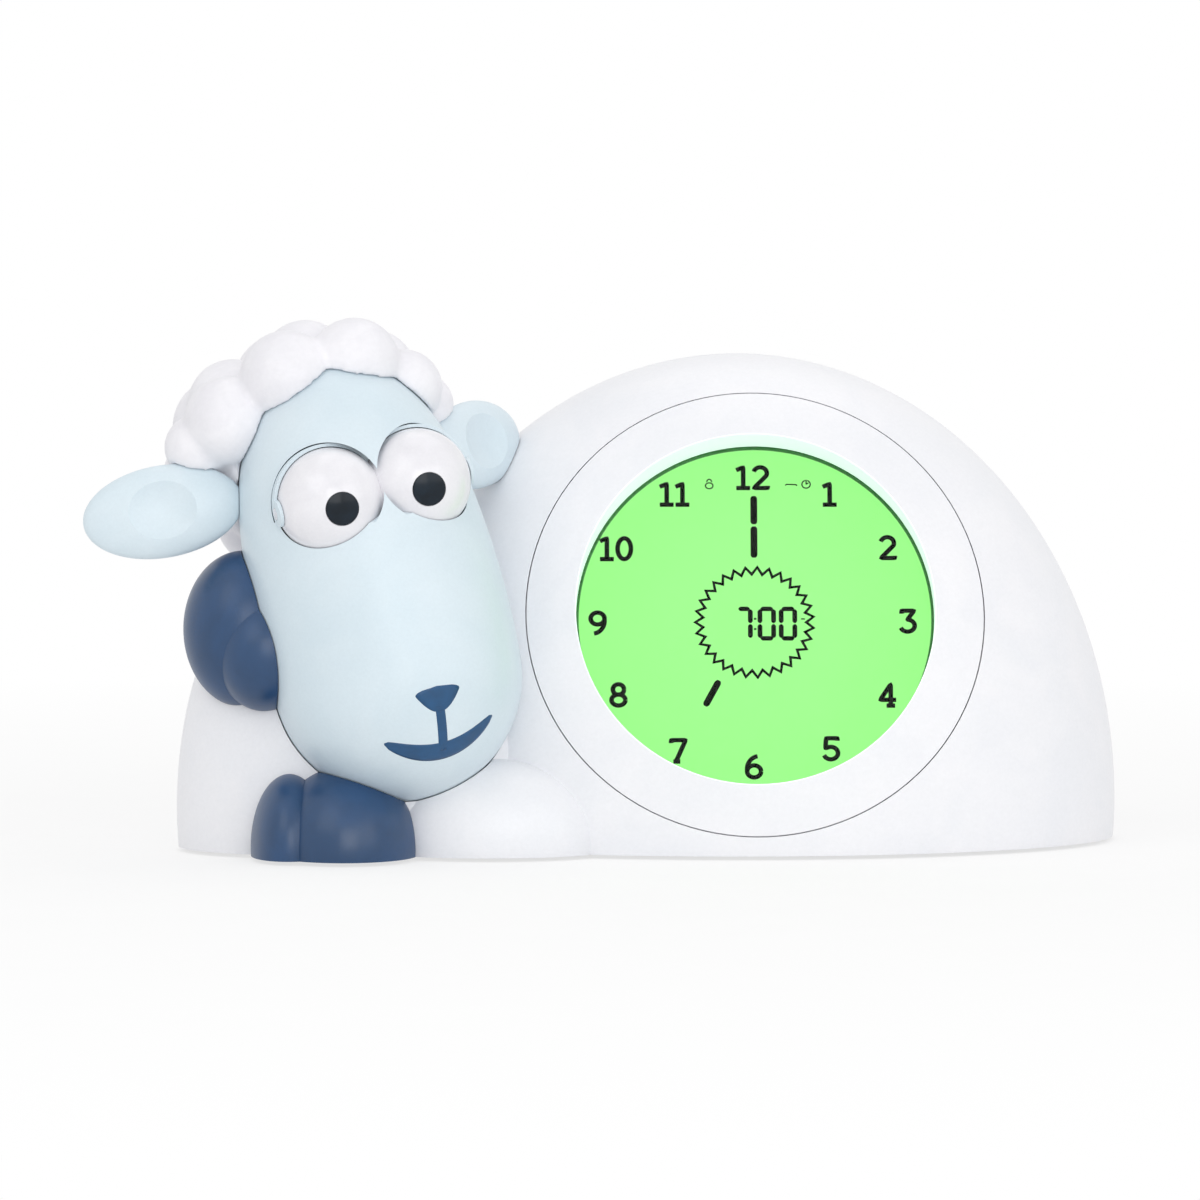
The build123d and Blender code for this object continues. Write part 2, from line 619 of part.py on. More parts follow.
# Window, display, light guide and their cup
stack_r = cup_in - fit
with BuildPart() as dial_window:
    add(dial_disc(stack_r, 0, lcd_top, stack_top))
with BuildPart() as lcd_panel:
    add(dial_disc(stack_r, 0, guide_top, lcd_top))
with BuildPart() as light_guide:
    add(dial_disc(stack_r, 0, guide_low, guide_top))
led_spots = [(-24.0, -15.0), (24.0, -15.0), (-24.0, 15.0), (24.0, 15.0)]
standoff_spots = [(-33.0, -24.0), (33.0, -24.0), (-33.0, 24.0), (33.0, 24.0)]
with BuildPart() as dial_carrier:
    add(dial_disc(cup_in + cup_t, cup_in, guide_low - 1, stack_top))
    add(dial_disc(cup_in + cup_t, 0, cup_low, guide_low))
    for angle in carrier_angles:
        with Locations(dial_spot(57.0, angle, carrier_boss - lug_t / 2).location):
            with Locations(Rot(0, 0, angle)):
                Box(14, 7, lug_t)
    with Locations(dial.offset(cup_low).location):
        for x, y in standoff_spots:
            with Locations((x, y)):
                Cylinder(3.0, standoff, align=(Align.CENTER, Align.CENTER, Align.MAX))
                Cylinder(small_r, standoff, align=(Align.CENTER, Align.CENTER, Align.MAX), mode=Mode.SUBTRACT)
        for x, y in led_spots:
            with Locations((x, y)):
                Cylinder(3.2, 6, mode=Mode.SUBTRACT)
    for angle in carrier_angles:
        add(bore(dial_spot(ear_screw_r, angle, 0), small_r, 40), mode=Mode.SUBTRACT)


def behind(x, y, height):
    origin = dial.origin + dial.x_dir * x + dial.y_dir * y + dial.z_dir * height
    return Plane(origin=origin, x_dir=dial.x_dir, z_dir=-dial.z_dir)


with BuildPart() as carrier_screws:
    for angle in carrier_angles:
        turn = math.radians(angle)
        x, y = ear_screw_r * math.cos(turn), ear_screw_r * math.sin(turn)
        add(screw(behind(x, y, carrier_boss - lug_t), 2.0, 1.2, small_r, 5.5))
with BuildPart() as main_board:
    with Locations(dial.offset(board_top).location):
        Box(board_w, board_h, board_t, align=(Align.CENTER, Align.CENTER, Align.MAX))
        for x, y in standoff_spots:
            with Locations((x, y)):
                Cylinder(small_r, 8, mode=Mode.SUBTRACT)
with BuildPart() as board_screws:
    for x, y in standoff_spots:
        add(screw(behind(x, y, board_top - board_t), 2.0, 1.2, small_r, board_t + 3.6))
with BuildPart() as backlight_leds:
    with Locations(dial.offset(board_top).location):
        for x, y in led_spots:
            with Locations((x, y)):
                Box(3.5, 2.8, 1.6, align=(Align.CENTER, Align.CENTER, Align.MIN))
with BuildPart() as board_chips:
    with Locations(dial.offset(board_top - board_t).location):
        for x, y, w, h, t in ((-6, 6, 14, 14, 1.8), (16, 8, 9, 6, 1.6), (14, -12, 8, 5, 1.6), (-22, -10, 7, 7, 2.4)):
            with Locations((x, y)):
                Box(w, h, t, align=(Align.CENTER, Align.CENTER, Align.MAX))
        for x, y in ((26, -8), (26, 2), (-24, 8)):
            with Locations((x, y)):
                Cylinder(2.5, 5, align=(Align.CENTER, Align.CENTER, Align.MAX))


# Rear shell: dome with a flat panel, battery bay, control holes and screw wells
bay_wall = 1.6
bay_floor = panel_in - 0.8 - 2 * cell_r
back_plane = Plane(origin=(0, back_y, 0), z_dir=(0, 1, 0))
door_gap = 0.25
tab_w, tab_h = 9.0, 10.0
tab_x = bay_x - bay_w / 2 - door_over - tab_w / 2 + 2
tab_screw_x = tab_x - 1.2
well_r = 3.1
key_gap = 0.25
slot_l = 2 * knob_travel + 5.6
post_spots = [(10.0, 74.0), (59.0, 74.0)]
keyboard_t = 1.6
grille_rings = [(0.0, 1), (3.6, 6), (7.0, 12), (10.0, 16)]
with BuildPart() as rear_hollow:
    add(dome_form(wall, dome_rear))
    split(bisect_by=Plane(origin=(0, panel_in, 0), z_dir=(0, 1, 0)), keep=Keep.BOTTOM)
with BuildPart() as rear_limit:
    add(dome_form(1, dome_rear))
    split(bisect_by=ridge, keep=Keep.TOP)
    split(bisect_by=Plane(origin=(0, back_y - 1, 0), z_dir=(0, 1, 0)), keep=Keep.BOTTOM)
with BuildPart() as rear_shell:
    add(dome_form(0, dome_rear))
    split(bisect_by=ridge, keep=Keep.TOP)
    split(bisect_by=back_plane, keep=Keep.BOTTOM)
    add(rear_hollow.part, mode=Mode.SUBTRACT)
    for x, z in shell_spots:
        add(post(y_plane(x, back_y, z), shell_boss_r, back_y - ridge_y, rear_limit.part))
    with Locations((bay_x, (bay_floor - bay_wall + panel_in + 1) / 2, bay_z)):
        Box(bay_w + 2 * bay_wall, panel_in + 1 - bay_floor + bay_wall, bay_h + 2 * bay_wall)
    for x, y in base_spots[2:]:
        add(post(Plane(origin=(x, y, base_top + base_boss_h)), 4.0, base_boss_h, rear_limit.part))
        add(block((x, y + 5, base_top + base_boss_h / 2), (3, 12, base_boss_h), rear_limit.part))
    for x, z in post_spots:
        add(post(y_plane(x, back_y - 1, z), 2.6, back_y - 1 - keyboard_y - keyboard_t, rear_limit.part))
    add(post(y_plane(tab_screw_x, back_y - 1, bay_z), 2.8, 8, rear_limit.part))
    split(bisect_by=floor_plane, keep=Keep.TOP)
    with Locations((bay_x, (bay_floor + back_y) / 2, bay_z)):
        Box(bay_w, back_y - bay_floor, bay_h, mode=Mode.SUBTRACT)
    with Locations((bay_x, back_y - door_t / 2, bay_z)):
        Box(bay_w + 2 * door_over, door_t, bay_h + 2 * door_over, mode=Mode.SUBTRACT)
    for x, z in shell_spots:
        add(bore(y_plane(x, back_y, z), shell_screw_r + fit, back_y - ridge_y), mode=Mode.SUBTRACT)
        add(bore(y_plane(x, back_y + 1, z), well_r, back_y + 1 - shell_screw_y), mode=Mode.SUBTRACT)
    for x in key_xs:
        add(bore(y_plane(x, back_y, key_z), key_r + key_gap, 4), mode=Mode.SUBTRACT)
    with Locations((knob_x, back_y - 2, knob_z)):
        Box(slot_l, 8, 3.6, mode=Mode.SUBTRACT)
    with Locations((usb_x, back_y - 2, usb_z)):
        Box(usb_w + 2 * fit, 8, usb_h + 2 * fit, mode=Mode.SUBTRACT)
    for radius, count in grille_rings:
        for step in range(count):
            turn = 2 * math.pi * step / count
            spot = y_plane(speaker_x + radius * math.cos(turn), back_y, speaker_z + radius * math.sin(turn))
            add(bore(spot, 1.0, 4), mode=Mode.SUBTRACT)
    for x, z in post_spots:
        low = Plane(origin=(x, keyboard_y + keyboard_t, z), x_dir=(1, 0, 0), z_dir=(0, -1, 0))
        add(bore(low, small_r, 4.5), mode=Mode.SUBTRACT)
    for x, y in base_spots[2:]:
        add(bore(Plane(origin=(x, y, base_top), z_dir=(0, 0, -1)), small_r, 9), mode=Mode.SUBTRACT)
    with Locations((tab_x, back_y - door_t / 2, bay_z)):
        Box(tab_w, door_t, tab_h, mode=Mode.SUBTRACT)
    add(bore(y_plane(tab_screw_x, back_y, bay_z), small_r, 7), mode=Mode.SUBTRACT)
with BuildPart() as shell_screws:
    for x, z in shell_spots:
        add(screw(y_plane(x, shell_screw_y, z), 2.8, 1.6, shell_screw_r, 18.0))

# Base plate, its screws and the rubber feet
with BuildPart() as base_plate:
    add(base_form(wall + clear, base_low, base_top))
    for x, y in base_spots:
        add(bore(Plane(origin=(x, y, 6)), small_r, 8), mode=Mode.SUBTRACT)
    for x, y in foot_spots:
        add(bore(Plane(origin=(x, y, foot_t)), foot_r, 4), mode=Mode.SUBTRACT)
with BuildPart() as base_screws:
    for x, y in base_spots:
        add(screw(Plane(origin=(x, y, base_low), z_dir=(0, 0, -1)), 2.0, 0.9, small_r, 10.0))
with BuildPart() as rubber_feet:
    for x, y in foot_spots:
        with Locations((x, y, 0)):
            Cylinder(foot_r, foot_t, align=(Align.CENTER, Align.CENTER, Align.MIN))
    chamfer(rubber_feet.edges().group_by(Axis.Z)[0], 0.4)

# Battery door, its captive screw, the cells and their contacts
with BuildPart() as battery_door:
    with Locations((bay_x, back_y - door_t / 2, bay_z)):
        Box(bay_w + 2 * door_over - 2 * door_gap, door_t, bay_h + 2 * door_over - 2 * door_gap)
    with Locations((tab_x, back_y - door_t / 2, bay_z)):
        Box(tab_w - 2 * door_gap, door_t, tab_h - 2 * door_gap)
    for step in range(5):
        with Locations((bay_x + bay_w / 2 - 3 - 2.4 * step, back_y, bay_z)):
            Box(1.0, 0.8, 14, mode=Mode.SUBTRACT)
    add(bore(y_plane(tab_screw_x, back_y, bay_z), small_r, door_t), mode=Mode.SUBTRACT)
    add(bore(y_plane(tab_screw_x, back_y, bay_z), 2.6, 1.1), mode=Mode.SUBTRACT)
with BuildPart() as door_screw:
    add(screw(y_plane(tab_screw_x, back_y - 1.1, bay_z), 2.4, 0.9, small_r, 5.0))
cell_y = bay_floor + cell_r
cell_zs = [bay_z - cell_pitch, bay_z, bay_z + cell_pitch]
contact_t = 0.6
with BuildPart() as batteries:
    for row, z in enumerate(cell_zs):
        tip = 1 if row % 2 == 0 else -1
        with Locations((bay_x, cell_y, z)):
            with Locations(Rot(0, 90, 0)):
                Cylinder(cell_r, cell_l - 1.0)
                with Locations((0, 0, tip * (cell_l / 2))):
                    Cylinder(2.6, 1.0)
with BuildPart() as battery_contacts:
    for row, z in enumerate(cell_zs):
        tip = 1 if row % 2 == 0 else -1
        for end in (-1, 1):
            face_x = bay_x + end * (bay_w / 2 - contact_t / 2)
            with Locations((face_x, cell_y, z)):
                Box(contact_t, 11, 10)
            reach = bay_w / 2 - contact_t - cell_l / 2 + (0.5 if end != tip else -0.5)
            with Locations((bay_x + end * (bay_w / 2 - contact_t), cell_y, z)):
                with Locations(Rot(0, -90 * end, 0)):
                    Cone(4.2, 2.6, reach, align=(Align.CENTER, Align.CENTER, Align.MIN))

# Keys, their switches and board, and the mode slide switch
with BuildPart() as button_board:
    with Locations((knob_x, keyboard_y + keyboard_t / 2, 68.0)):
        Box(66, keyboard_t, 22)
    for x, z in post_spots:
        add(bore(y_plane(x, keyboard_y + 4, z), small_r, 8), mode=Mode.SUBTRACT)
switch_h, plunger_h = 3.5, 0.5
switch_top = keyboard_y + keyboard_t + switch_h + plunger_h
with BuildPart() as tact_switches:
    for x in key_xs:
        with Locations((x, keyboard_y + keyboard_t + switch_h / 2, key_z)):
            Box(6, switch_h, 6)
        add(bore(y_plane(x, switch_top, key_z), 1.6, plunger_h + 0.5))
with BuildPart() as board_pins:
    for x, z in post_spots:
        add(screw(Plane(origin=(x, keyboard_y, z), x_dir=(1, 0, 0), z_dir=(0, -1, 0)), 2.0, 1.2, small_r, 5.5))
keys = {}
for key_name, x in zip(key_names, key_xs):
    with BuildPart() as key:
        add(bore(y_plane(x, back_y + key_out, key_z), key_r, back_y + key_out - panel_in + 0.5))
        fillet(key.edges().group_by(Axis.Y)[-1], 0.5)
        add(bore(y_plane(x, panel_in, key_z), key_r + 1.1, 1.2))
        add(bore(y_plane(x, panel_in - 1.0, key_z), 1.6, panel_in - 1.0 - switch_top - key_travel - 0.1))
    keys[key_name] = key.part
with BuildPart() as mode_switch_body:
    with Locations((knob_x, keyboard_y + keyboard_t + 2.25, knob_z)):
        Box(14, 4.5, 4.5)
with BuildPart() as mode_switch_knob:
    with Locations((knob_x, panel_in - 0.7, knob_z)):
        Box(slot_l + 2 * knob_travel + 1, 1.4, 6.4)
    with Locations((knob_x, (panel_in + back_y + 1.4) / 2 - 0.3, knob_z)):
        Box(5.0, back_y + 1.4 - panel_in + 0.6, 3.0)
    for step in (-1, 0, 1):
        with Locations((knob_x + 1.4 * step, back_y + 1.4, knob_z)):
            Box(0.5, 0.6, 3.0, mode=Mode.SUBTRACT)

# Speaker and power socket on the panel
with BuildPart() as speaker_frame:
    add(bore(y_plane(speaker_x, panel_in, speaker_z), speaker_r, 6.0))
    add(bore(y_plane(speaker_x, panel_in, speaker_z), speaker_r - 1.2, 4.8), mode=Mode.SUBTRACT)
with BuildPart() as speaker_cone:
    with Locations(y_plane(speaker_x, panel_in - 1.0, speaker_z).location):
        Cone(4.0, speaker_r - 1.2, 3.0, align=(Align.CENTER, Align.CENTER, Align.MAX))
        with Locations((0, 0, 0.6)):
            Cone(4.0, speaker_r - 1.2, 3.0, align=(Align.CENTER, Align.CENTER, Align.MAX), mode=Mode.SUBTRACT)
        with Locations((0, 0, -2.4)):
            Cylinder(4.2, 0.8)
with BuildPart() as speaker_magnet:
    add(bore(y_plane(speaker_x, panel_in - 6.0, speaker_z), 8.0, 5.0))
with BuildPart() as usb_socket:
    with Locations((usb_x, back_y - 0.3 - 4.0, usb_z)):
        Box(usb_w, 8.0, usb_h)
    with Locations((usb_x, panel_in - 0.6, usb_z)):
        Box(usb_w + 3, 1.2, usb_h + 2.4)
    with Locations((usb_x, back_y - 0.3 - 2.5, usb_z)):
        Box(usb_w - 1.0, 5.0, usb_h - 1.0, mode=Mode.SUBTRACT)
    with Locations((usb_x, back_y - 1.3 - 2.3, usb_z)):
        Box(usb_w - 2.6, 4.6, 0.7)

head_parts = {
    "face_shell": face_shell.part, "head_back": head_back.part, "eyeballs": eyeballs.part, "pupils": pupils.part,
    "eyelids": eyelids.part, "drive_pinion": drive_pinion.part, "gear_motor": gear_motor.part,
    "mechanism_plate": mechanism_plate.part, "mechanism_screws": mechanism_screws.part,
    "wig_screws": wig_screws.part, "neck_screws": neck_screws.part, "ear_left": ears["ear_left"],
}
made = {
    "front_shell": front_shell.part, "rear_shell": rear_shell.part, "base_plate": base_plate.part,
    "rubber_feet": rubber_feet.part, "shell_screws": shell_screws.part, "base_screws": base_screws.part,
    "dial_bezel": dial_bezel.part, "dial_window": dial_window.part, "lcd_panel": lcd_panel.part,
    "light_guide": light_guide.part, "dial_carrier": dial_carrier.part, "carrier_screws": carrier_screws.part,
    "main_board": main_board.part, "board_screws": board_screws.part, "backlight_leds": backlight_leds.part,
    "board_chips": board_chips.part, "button_board": button_board.part, "tact_switches": tact_switches.part,
    "keyboard_screws": board_pins.part, "mode_switch_body": mode_switch_body.part,
    "mode_switch_knob": mode_switch_knob.part, "battery_door": battery_door.part, "door_screw": door_screw.part,
    "batteries": batteries.part, "battery_contacts": battery_contacts.part, "speaker_frame": speaker_frame.part,
    "speaker_cone": speaker_cone.part, "speaker_magnet": speaker_magnet.part, "usb_socket": usb_socket.part,
    "fleece": fleece_set.part, "ear_right": ear_right_set.part,
    "hoof_upper": hoof_upper.part, "hoof_lower": hoof_lower.part,
}
made.update(keys)
for name, piece in head_parts.items():
    made[name] = head_at * piece
for name, piece in made.items():
    piece.label = name
    export_step(piece, f"parts/{name}.step")
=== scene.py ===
"""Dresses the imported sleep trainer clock: skins, fleece, lit dial, printed marks, floor, lamps and camera."""
import json
import math

import bmesh
import bpy
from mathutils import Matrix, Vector


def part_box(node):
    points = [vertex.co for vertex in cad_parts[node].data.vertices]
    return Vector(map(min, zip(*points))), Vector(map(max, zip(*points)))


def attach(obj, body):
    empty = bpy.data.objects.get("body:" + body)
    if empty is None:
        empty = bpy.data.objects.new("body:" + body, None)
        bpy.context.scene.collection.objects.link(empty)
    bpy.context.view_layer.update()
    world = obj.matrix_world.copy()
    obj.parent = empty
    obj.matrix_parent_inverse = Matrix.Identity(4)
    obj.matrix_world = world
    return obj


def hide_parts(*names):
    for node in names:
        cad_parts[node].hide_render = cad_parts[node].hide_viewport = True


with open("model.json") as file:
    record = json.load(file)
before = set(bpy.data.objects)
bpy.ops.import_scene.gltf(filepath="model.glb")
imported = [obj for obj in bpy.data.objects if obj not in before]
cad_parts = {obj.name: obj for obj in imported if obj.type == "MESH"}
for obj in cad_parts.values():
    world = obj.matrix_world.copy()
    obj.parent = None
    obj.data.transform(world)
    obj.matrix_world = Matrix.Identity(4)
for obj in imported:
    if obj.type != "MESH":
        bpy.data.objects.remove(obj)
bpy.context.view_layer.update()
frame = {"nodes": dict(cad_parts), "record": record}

MM = 0.001

# dial, in millimetres: its centre, its tilt back from upright, its radii and the levels along its axis
dial_centre = Vector((38.7, -18.0, 60.0))
dial_tilt = math.radians(18.4)
stack_radius = 48.65
view_radius = 44.7
mask_inner, mask_outer = 44.05, 48.2
lcd_top = -6.45
lcd_bottom = -9.0
ink_level = -6.36
ink_half = 0.045

# head, in millimetres: its origin, its own right, back and up directions, and its egg form
head_origin = Vector((-55.3, -25.5, 65.0))
head_right = Vector((0.930274, 0.309017, 0.197736))
head_back = Vector((-0.270387, 0.941801, -0.199755))
head_up = Vector((-0.247955, 0.132361, 0.959687))
egg_radius = 31.0
egg_belly = -20.0
egg_crown = 60.0
egg_chin = -52.0
egg_power = 3.5

# meshes: how close two corners count as one, how sharp an edge stays an edge, and the sides of a turned ring
weld_gap = 0.000002
true_edge = math.radians(32.0)
turn_sides = 128

# the values that a noise texture nearly always keeps to
noise_span = (0.3, 0.7)


def dial_point(x, y, level):
    """A point of the dial, right, up and out from its centre in millimetres, as metres in the frame."""
    up = Vector((0.0, math.sin(dial_tilt), math.cos(dial_tilt)))
    out = Vector((0.0, -math.cos(dial_tilt), math.sin(dial_tilt)))
    return (dial_centre + Vector((x, 0.0, 0.0)) + up * y + out * level) * MM


def linear(code):
    """A six-digit sRGB hex value as linear red, green, blue and alpha."""
    parts = [int(code[i:i + 2], 16) / 255 for i in (0, 2, 4)]
    return tuple(p / 12.92 if p <= 0.04045 else ((p + 0.055) / 1.055) ** 2.4 for p in parts) + (1.0,)


def per_metre(pitch):
    """The texture scale for a pattern of so many millimetres."""
    return 1000 / pitch


def add(tree, kind, settings=None, links=None):
    """Adds one node. Lower-case settings are its properties, the others its sockets; links feed its sockets."""
    node = tree.nodes.new(kind)
    for key, value in (settings or {}).items():
        if isinstance(key, str) and key[0].islower():
            setattr(node, key, value)
        else:
            node.inputs[key].default_value = value
    for key, source in (links or {}).items():
        tree.links.new(source, node.inputs[key])
    return node


def worked(tree, operation, *values):
    """A sum on one or two values."""
    return add(tree, "ShaderNodeMath", {"operation": operation}, dict(enumerate(values))).outputs[0]


def ranged(tree, value, start=(0.0, 1.0), end=(0.0, 1.0)):
    """A value carried from one range to another and held at its ends."""
    settings = {"From Min": start[0], "From Max": start[1], "To Min": end[0], "To Max": end[1]}
    return add(tree, "ShaderNodeMapRange", settings, {"Value": value}).outputs["Result"]


def two_tone(tree, low, high, part):
    """A colour between two hex values."""
    return add(tree, "ShaderNodeMix", {"data_type": "RGBA", 6: linear(low), 7: linear(high)}, {0: part}).outputs[2]


def dimmed(tree, colour, part):
    """A colour multiplied by a value."""
    settings = {"data_type": "RGBA", "blend_type": "MULTIPLY", 0: 1.0}
    return add(tree, "ShaderNodeMix", settings, {6: colour, 7: part}).outputs[2]


def blank(name):
    """An empty material, its tree and its Object coordinates."""
    made = bpy.data.materials.new(name)
    made.use_nodes = True
    tree = made.node_tree
    tree.nodes.clear()
    return made, tree, add(tree, "ShaderNodeTexCoord").outputs["Object"]


def finished(tree, settings, links):
    """Ends a material with its shader and its output."""
    shader = add(tree, "ShaderNodeBsdfPrincipled", settings, links)
    add(tree, "ShaderNodeOutputMaterial", links={"Surface": shader.outputs["BSDF"]})
    return shader


def moulded(name, tone, shade, rough, grain, depth, flow=22.0, coat=0.0, sheen=0.0, mirror=0.5):
    """A moulded plastic: slow flow shading, a fine grain in millimetres and gloss that wanders with the flow."""
    made, tree, place = blank(name)
    slow = {"Scale": per_metre(flow), "Detail": 3.0, "Roughness": 0.55, "Distortion": 0.6}
    drift = add(tree, "ShaderNodeTexNoise", slow, {"Vector": place}).outputs["Fac"]
    fine = {"Scale": per_metre(grain), "Detail": 4.0, "Roughness": 0.62}
    pits = add(tree, "ShaderNodeTexNoise", fine, {"Vector": place}).outputs["Fac"]
    colour = two_tone(tree, shade, tone, ranged(tree, drift, (0.34, 0.66)))
    speck = ranged(tree, pits, noise_span, (0.965, 1.0))
    relief = add(tree, "ShaderNodeBump", {"Strength": 0.35, "Distance": depth * MM}, {"Height": pits})
    finished(
        tree,
        {"IOR": 1.53, "Specular IOR Level": mirror, "Coat Weight": coat, "Coat Roughness": 0.12,
         "Sheen Weight": sheen},
        {"Base Color": dimmed(tree, colour, speck),
         "Roughness": ranged(tree, drift, noise_span, (rough - 0.05, rough + 0.06)),
         "Normal": relief.outputs["Normal"]})
    return made


def plated(name, tone, shade, rough, brush):
    """A plated or drawn metal: fine drawing lines along one direction and a slow tarnish."""
    made, tree, place = blank(name)
    stretch = add(tree, "ShaderNodeMapping", {"Scale": (1.0, 1.0, 0.08)}, {"Vector": place})
    lines = add(tree, "ShaderNodeTexNoise", {"Scale": per_metre(brush), "Detail": 3.0},
                {"Vector": stretch.outputs["Vector"]}).outputs["Fac"]
    tarnish = add(tree, "ShaderNodeTexNoise", {"Scale": per_metre(4.0), "Detail": 2.0}, {"Vector": place})
    relief = add(tree, "ShaderNodeBump", {"Strength": 0.25, "Distance": 0.03 * MM}, {"Height": lines})
    finished(
        tree,
        {"Metallic": 1.0},
        {"Base Color": two_tone(tree, shade, tone, tarnish.outputs["Fac"]),
         "Roughness": ranged(tree, lines, end=(rough - 0.08, rough + 0.1)),
         "Normal": relief.outputs["Normal"]})
    return made


# The body is satin ABS from a spark-eroded mould: soft broad highlights, a grain of about 0.4 mm
# drawn at 0.9 mm so that it shows, and a slight grey drift where the plastic flowed.
shell_look = {"tone": "F3F3F6", "shade": "EEEFF3", "rough": 0.36, "grain": 0.9, "depth": 0.05}
shell_abs = moulded("ABS moulded satin white", **shell_look)
# The fleece is a softer vinyl moulding: duller than the shell, with a coarser grain and quicker shading.
fleece_vinyl = moulded("Vinyl moulded matt fleece white", "F4F3F7", "ECEBF0",
                       rough=0.46, grain=1.3, depth=0.08, flow=12.0, sheen=0.05)
# The face and ears are the same ABS in a pale blue masterbatch, with a slightly finer grain than the shell.
face_abs = moulded("ABS moulded satin pale blue", "DBE8EF", "D4E3EB", rough=0.36, grain=0.8, depth=0.04, flow=26.0)
# The hooves are deep blue ABS: darker pigment, so the gloss reads clearly.
hoof_abs = moulded("ABS moulded satin deep blue", "264A74", "204268", rough=0.34, grain=0.8, depth=0.04, flow=16.0)
# The eyes come from a polished mould: tight highlights and hardly any grain.
eye_abs = moulded("ABS moulded polished eye white", "F0EFF3", "E8E7EC",
                  rough=0.2, grain=0.7, depth=0.015, flow=10.0, coat=0.25)
# The pupils are blue-black inserts under a thin lacquer, with a weak mirror that keeps them dark.
pupil_ink = moulded("Pupil lacquer blue black", "15222E", "101A23",
                    rough=0.22, grain=0.5, depth=0.02, flow=5.0, coat=0.08, mirror=0.2)
# The nose and mouth marks are pad-printed ink: flat, slightly uneven in depth, duller than the face under them.
mark_ink = moulded("Pad printed ink deep blue", "17507E", "134872", rough=0.42, grain=0.35, depth=0.02, flow=4.0)
# Inner mouldings are unpolished ABS: a duller, greyer white than the shell.
inner_abs = moulded("ABS moulded plain inner white", "E6E6E4", "DCDCD9", rough=0.5, grain=0.7, depth=0.05)
# Black mouldings are glass-filled, with a fibre-flecked dull skin.
black_pbt = moulded("PBT moulded black", "1B1C1E", "131416", rough=0.5, grain=0.5, depth=0.06, flow=6.0)
# The keys are silicone in a deeper blue than the face, with a soft dry touch.
key_silicone = moulded("Silicone moulded key blue", "9DC3D8", "8FB7CE",
                       rough=0.55, grain=0.6, depth=0.05, flow=6.0, sheen=0.15)
# Acetal gears are slightly waxy and cream.
gear_acetal = moulded("Acetal moulded natural", "EFEBDD", "E5E0CF", rough=0.38, grain=0.6, depth=0.03, flow=5.0)
# The feet are moulded rubber with a dusty bloom.
foot_rubber = moulded("Rubber moulded grey", "6D7076", "62656B",
                      rough=0.78, grain=0.6, depth=0.08, flow=5.0, sheen=0.25)
# The loudspeaker cone is pressed paper pulp: fibrous and dead matt.
cone_paper = moulded("Paper pulp pressed cone", "3A3937", "2F2E2C", rough=0.85, grain=0.5, depth=0.12, flow=3.0)
# The cells wear a shrunk PVC sleeve with faint shrink ripples.
cell_sleeve = moulded("PVC shrunk cell sleeve", "4E6F8E", "44637F",
                      rough=0.34, grain=1.2, depth=0.04, flow=6.0, coat=0.2)
# The diode lenses are cast epoxy: a milky cream with a soft shine.
led_epoxy = moulded("Epoxy cast diode lens", "F3F0D8", "E9E4C4", rough=0.25, grain=0.4, depth=0.02, flow=2.0)
# Screws are zinc-plated steel, a cool grey, and the contacts nickel-plated spring strip, a little warmer.
screw_steel = plated("Steel zinc plated screw", "C3C6CA", "A9ADB3", rough=0.34, brush=0.25)
contact_nickel = plated("Steel nickel plated contact", "CFCBC0", "B9B4A6", rough=0.3, brush=0.3)


def board_finish():
    """Woven glass laminate under green solder mask: cloth bands of about 2 mm and copper tracks showing through."""
    made, tree, place = blank("Glass epoxy board with green mask")
    # at scale 1 the wave node's bands are a twentieth of 6.283 apart
    weave = add(tree, "ShaderNodeTexWave", {"Scale": per_metre(6.283), "Distortion": 0.4, "Detail": 1.0},
                {"Vector": place})
    tracks = add(tree, "ShaderNodeTexVoronoi", {"feature": "DISTANCE_TO_EDGE", "Scale": per_metre(7.0)},
                 {"Vector": place})
    line = ranged(tree, tracks.outputs["Distance"], (0.05, 0.08))
    relief = add(tree, "ShaderNodeBump", {"Strength": 0.2, "Distance": 0.03 * MM}, {"Height": weave.outputs["Fac"]})
    finished(
        tree,
        {"Roughness": 0.32},
        {"Base Color": two_tone(tree, "2F8A52", "17633A", line), "Normal": relief.outputs["Normal"]})
    return made


def acrylic_finish(name, rough, haze, index):
    """Clear acrylic: a very slight polishing haze over clean transmission."""
    made, tree, place = blank(name)
    swirl = add(tree, "ShaderNodeTexNoise", {"Scale": per_metre(haze), "Detail": 5.0, "Roughness": 0.7},
                {"Vector": place})
    finished(
        tree,
        {"Base Color": (1.0, 1.0, 1.0, 1.0), "Transmission Weight": 1.0, "IOR": index},
        {"Roughness": ranged(tree, swirl.outputs["Fac"], end=(rough, rough + 0.04))})
    return made


def lit_glass_finish():
    """The backlit display glass: green light, a little weaker towards the rim, over a faint diffuser cloud."""
    made, tree, place = blank("Display glass backlit green")
    centre = dial_point(0.0, 0.0, lcd_top)
    middle = add(tree, "ShaderNodeMapping", {"Location": tuple(-c for c in centre)}, {"Vector": place})
    away = add(tree, "ShaderNodeVectorMath", {"operation": "LENGTH"}, {0: middle.outputs["Vector"]})
    rim = ranged(tree, away.outputs["Value"], (20.0 * MM, 49.0 * MM))
    cloud = add(tree, "ShaderNodeTexNoise", {"Scale": per_metre(16.0), "Detail": 2.0}, {"Vector": place})
    even = ranged(tree, cloud.outputs["Fac"], end=(0.97, 1.0))
    finished(
        tree,
        {"Base Color": linear("2C4A2A"), "Roughness": 0.4, "Specular IOR Level": 0.2, "Emission Strength": 0.96},
        {"Emission Color": dimmed(tree, two_tone(tree, "9FFF8D", "98FC84", rim), even)})
    return made


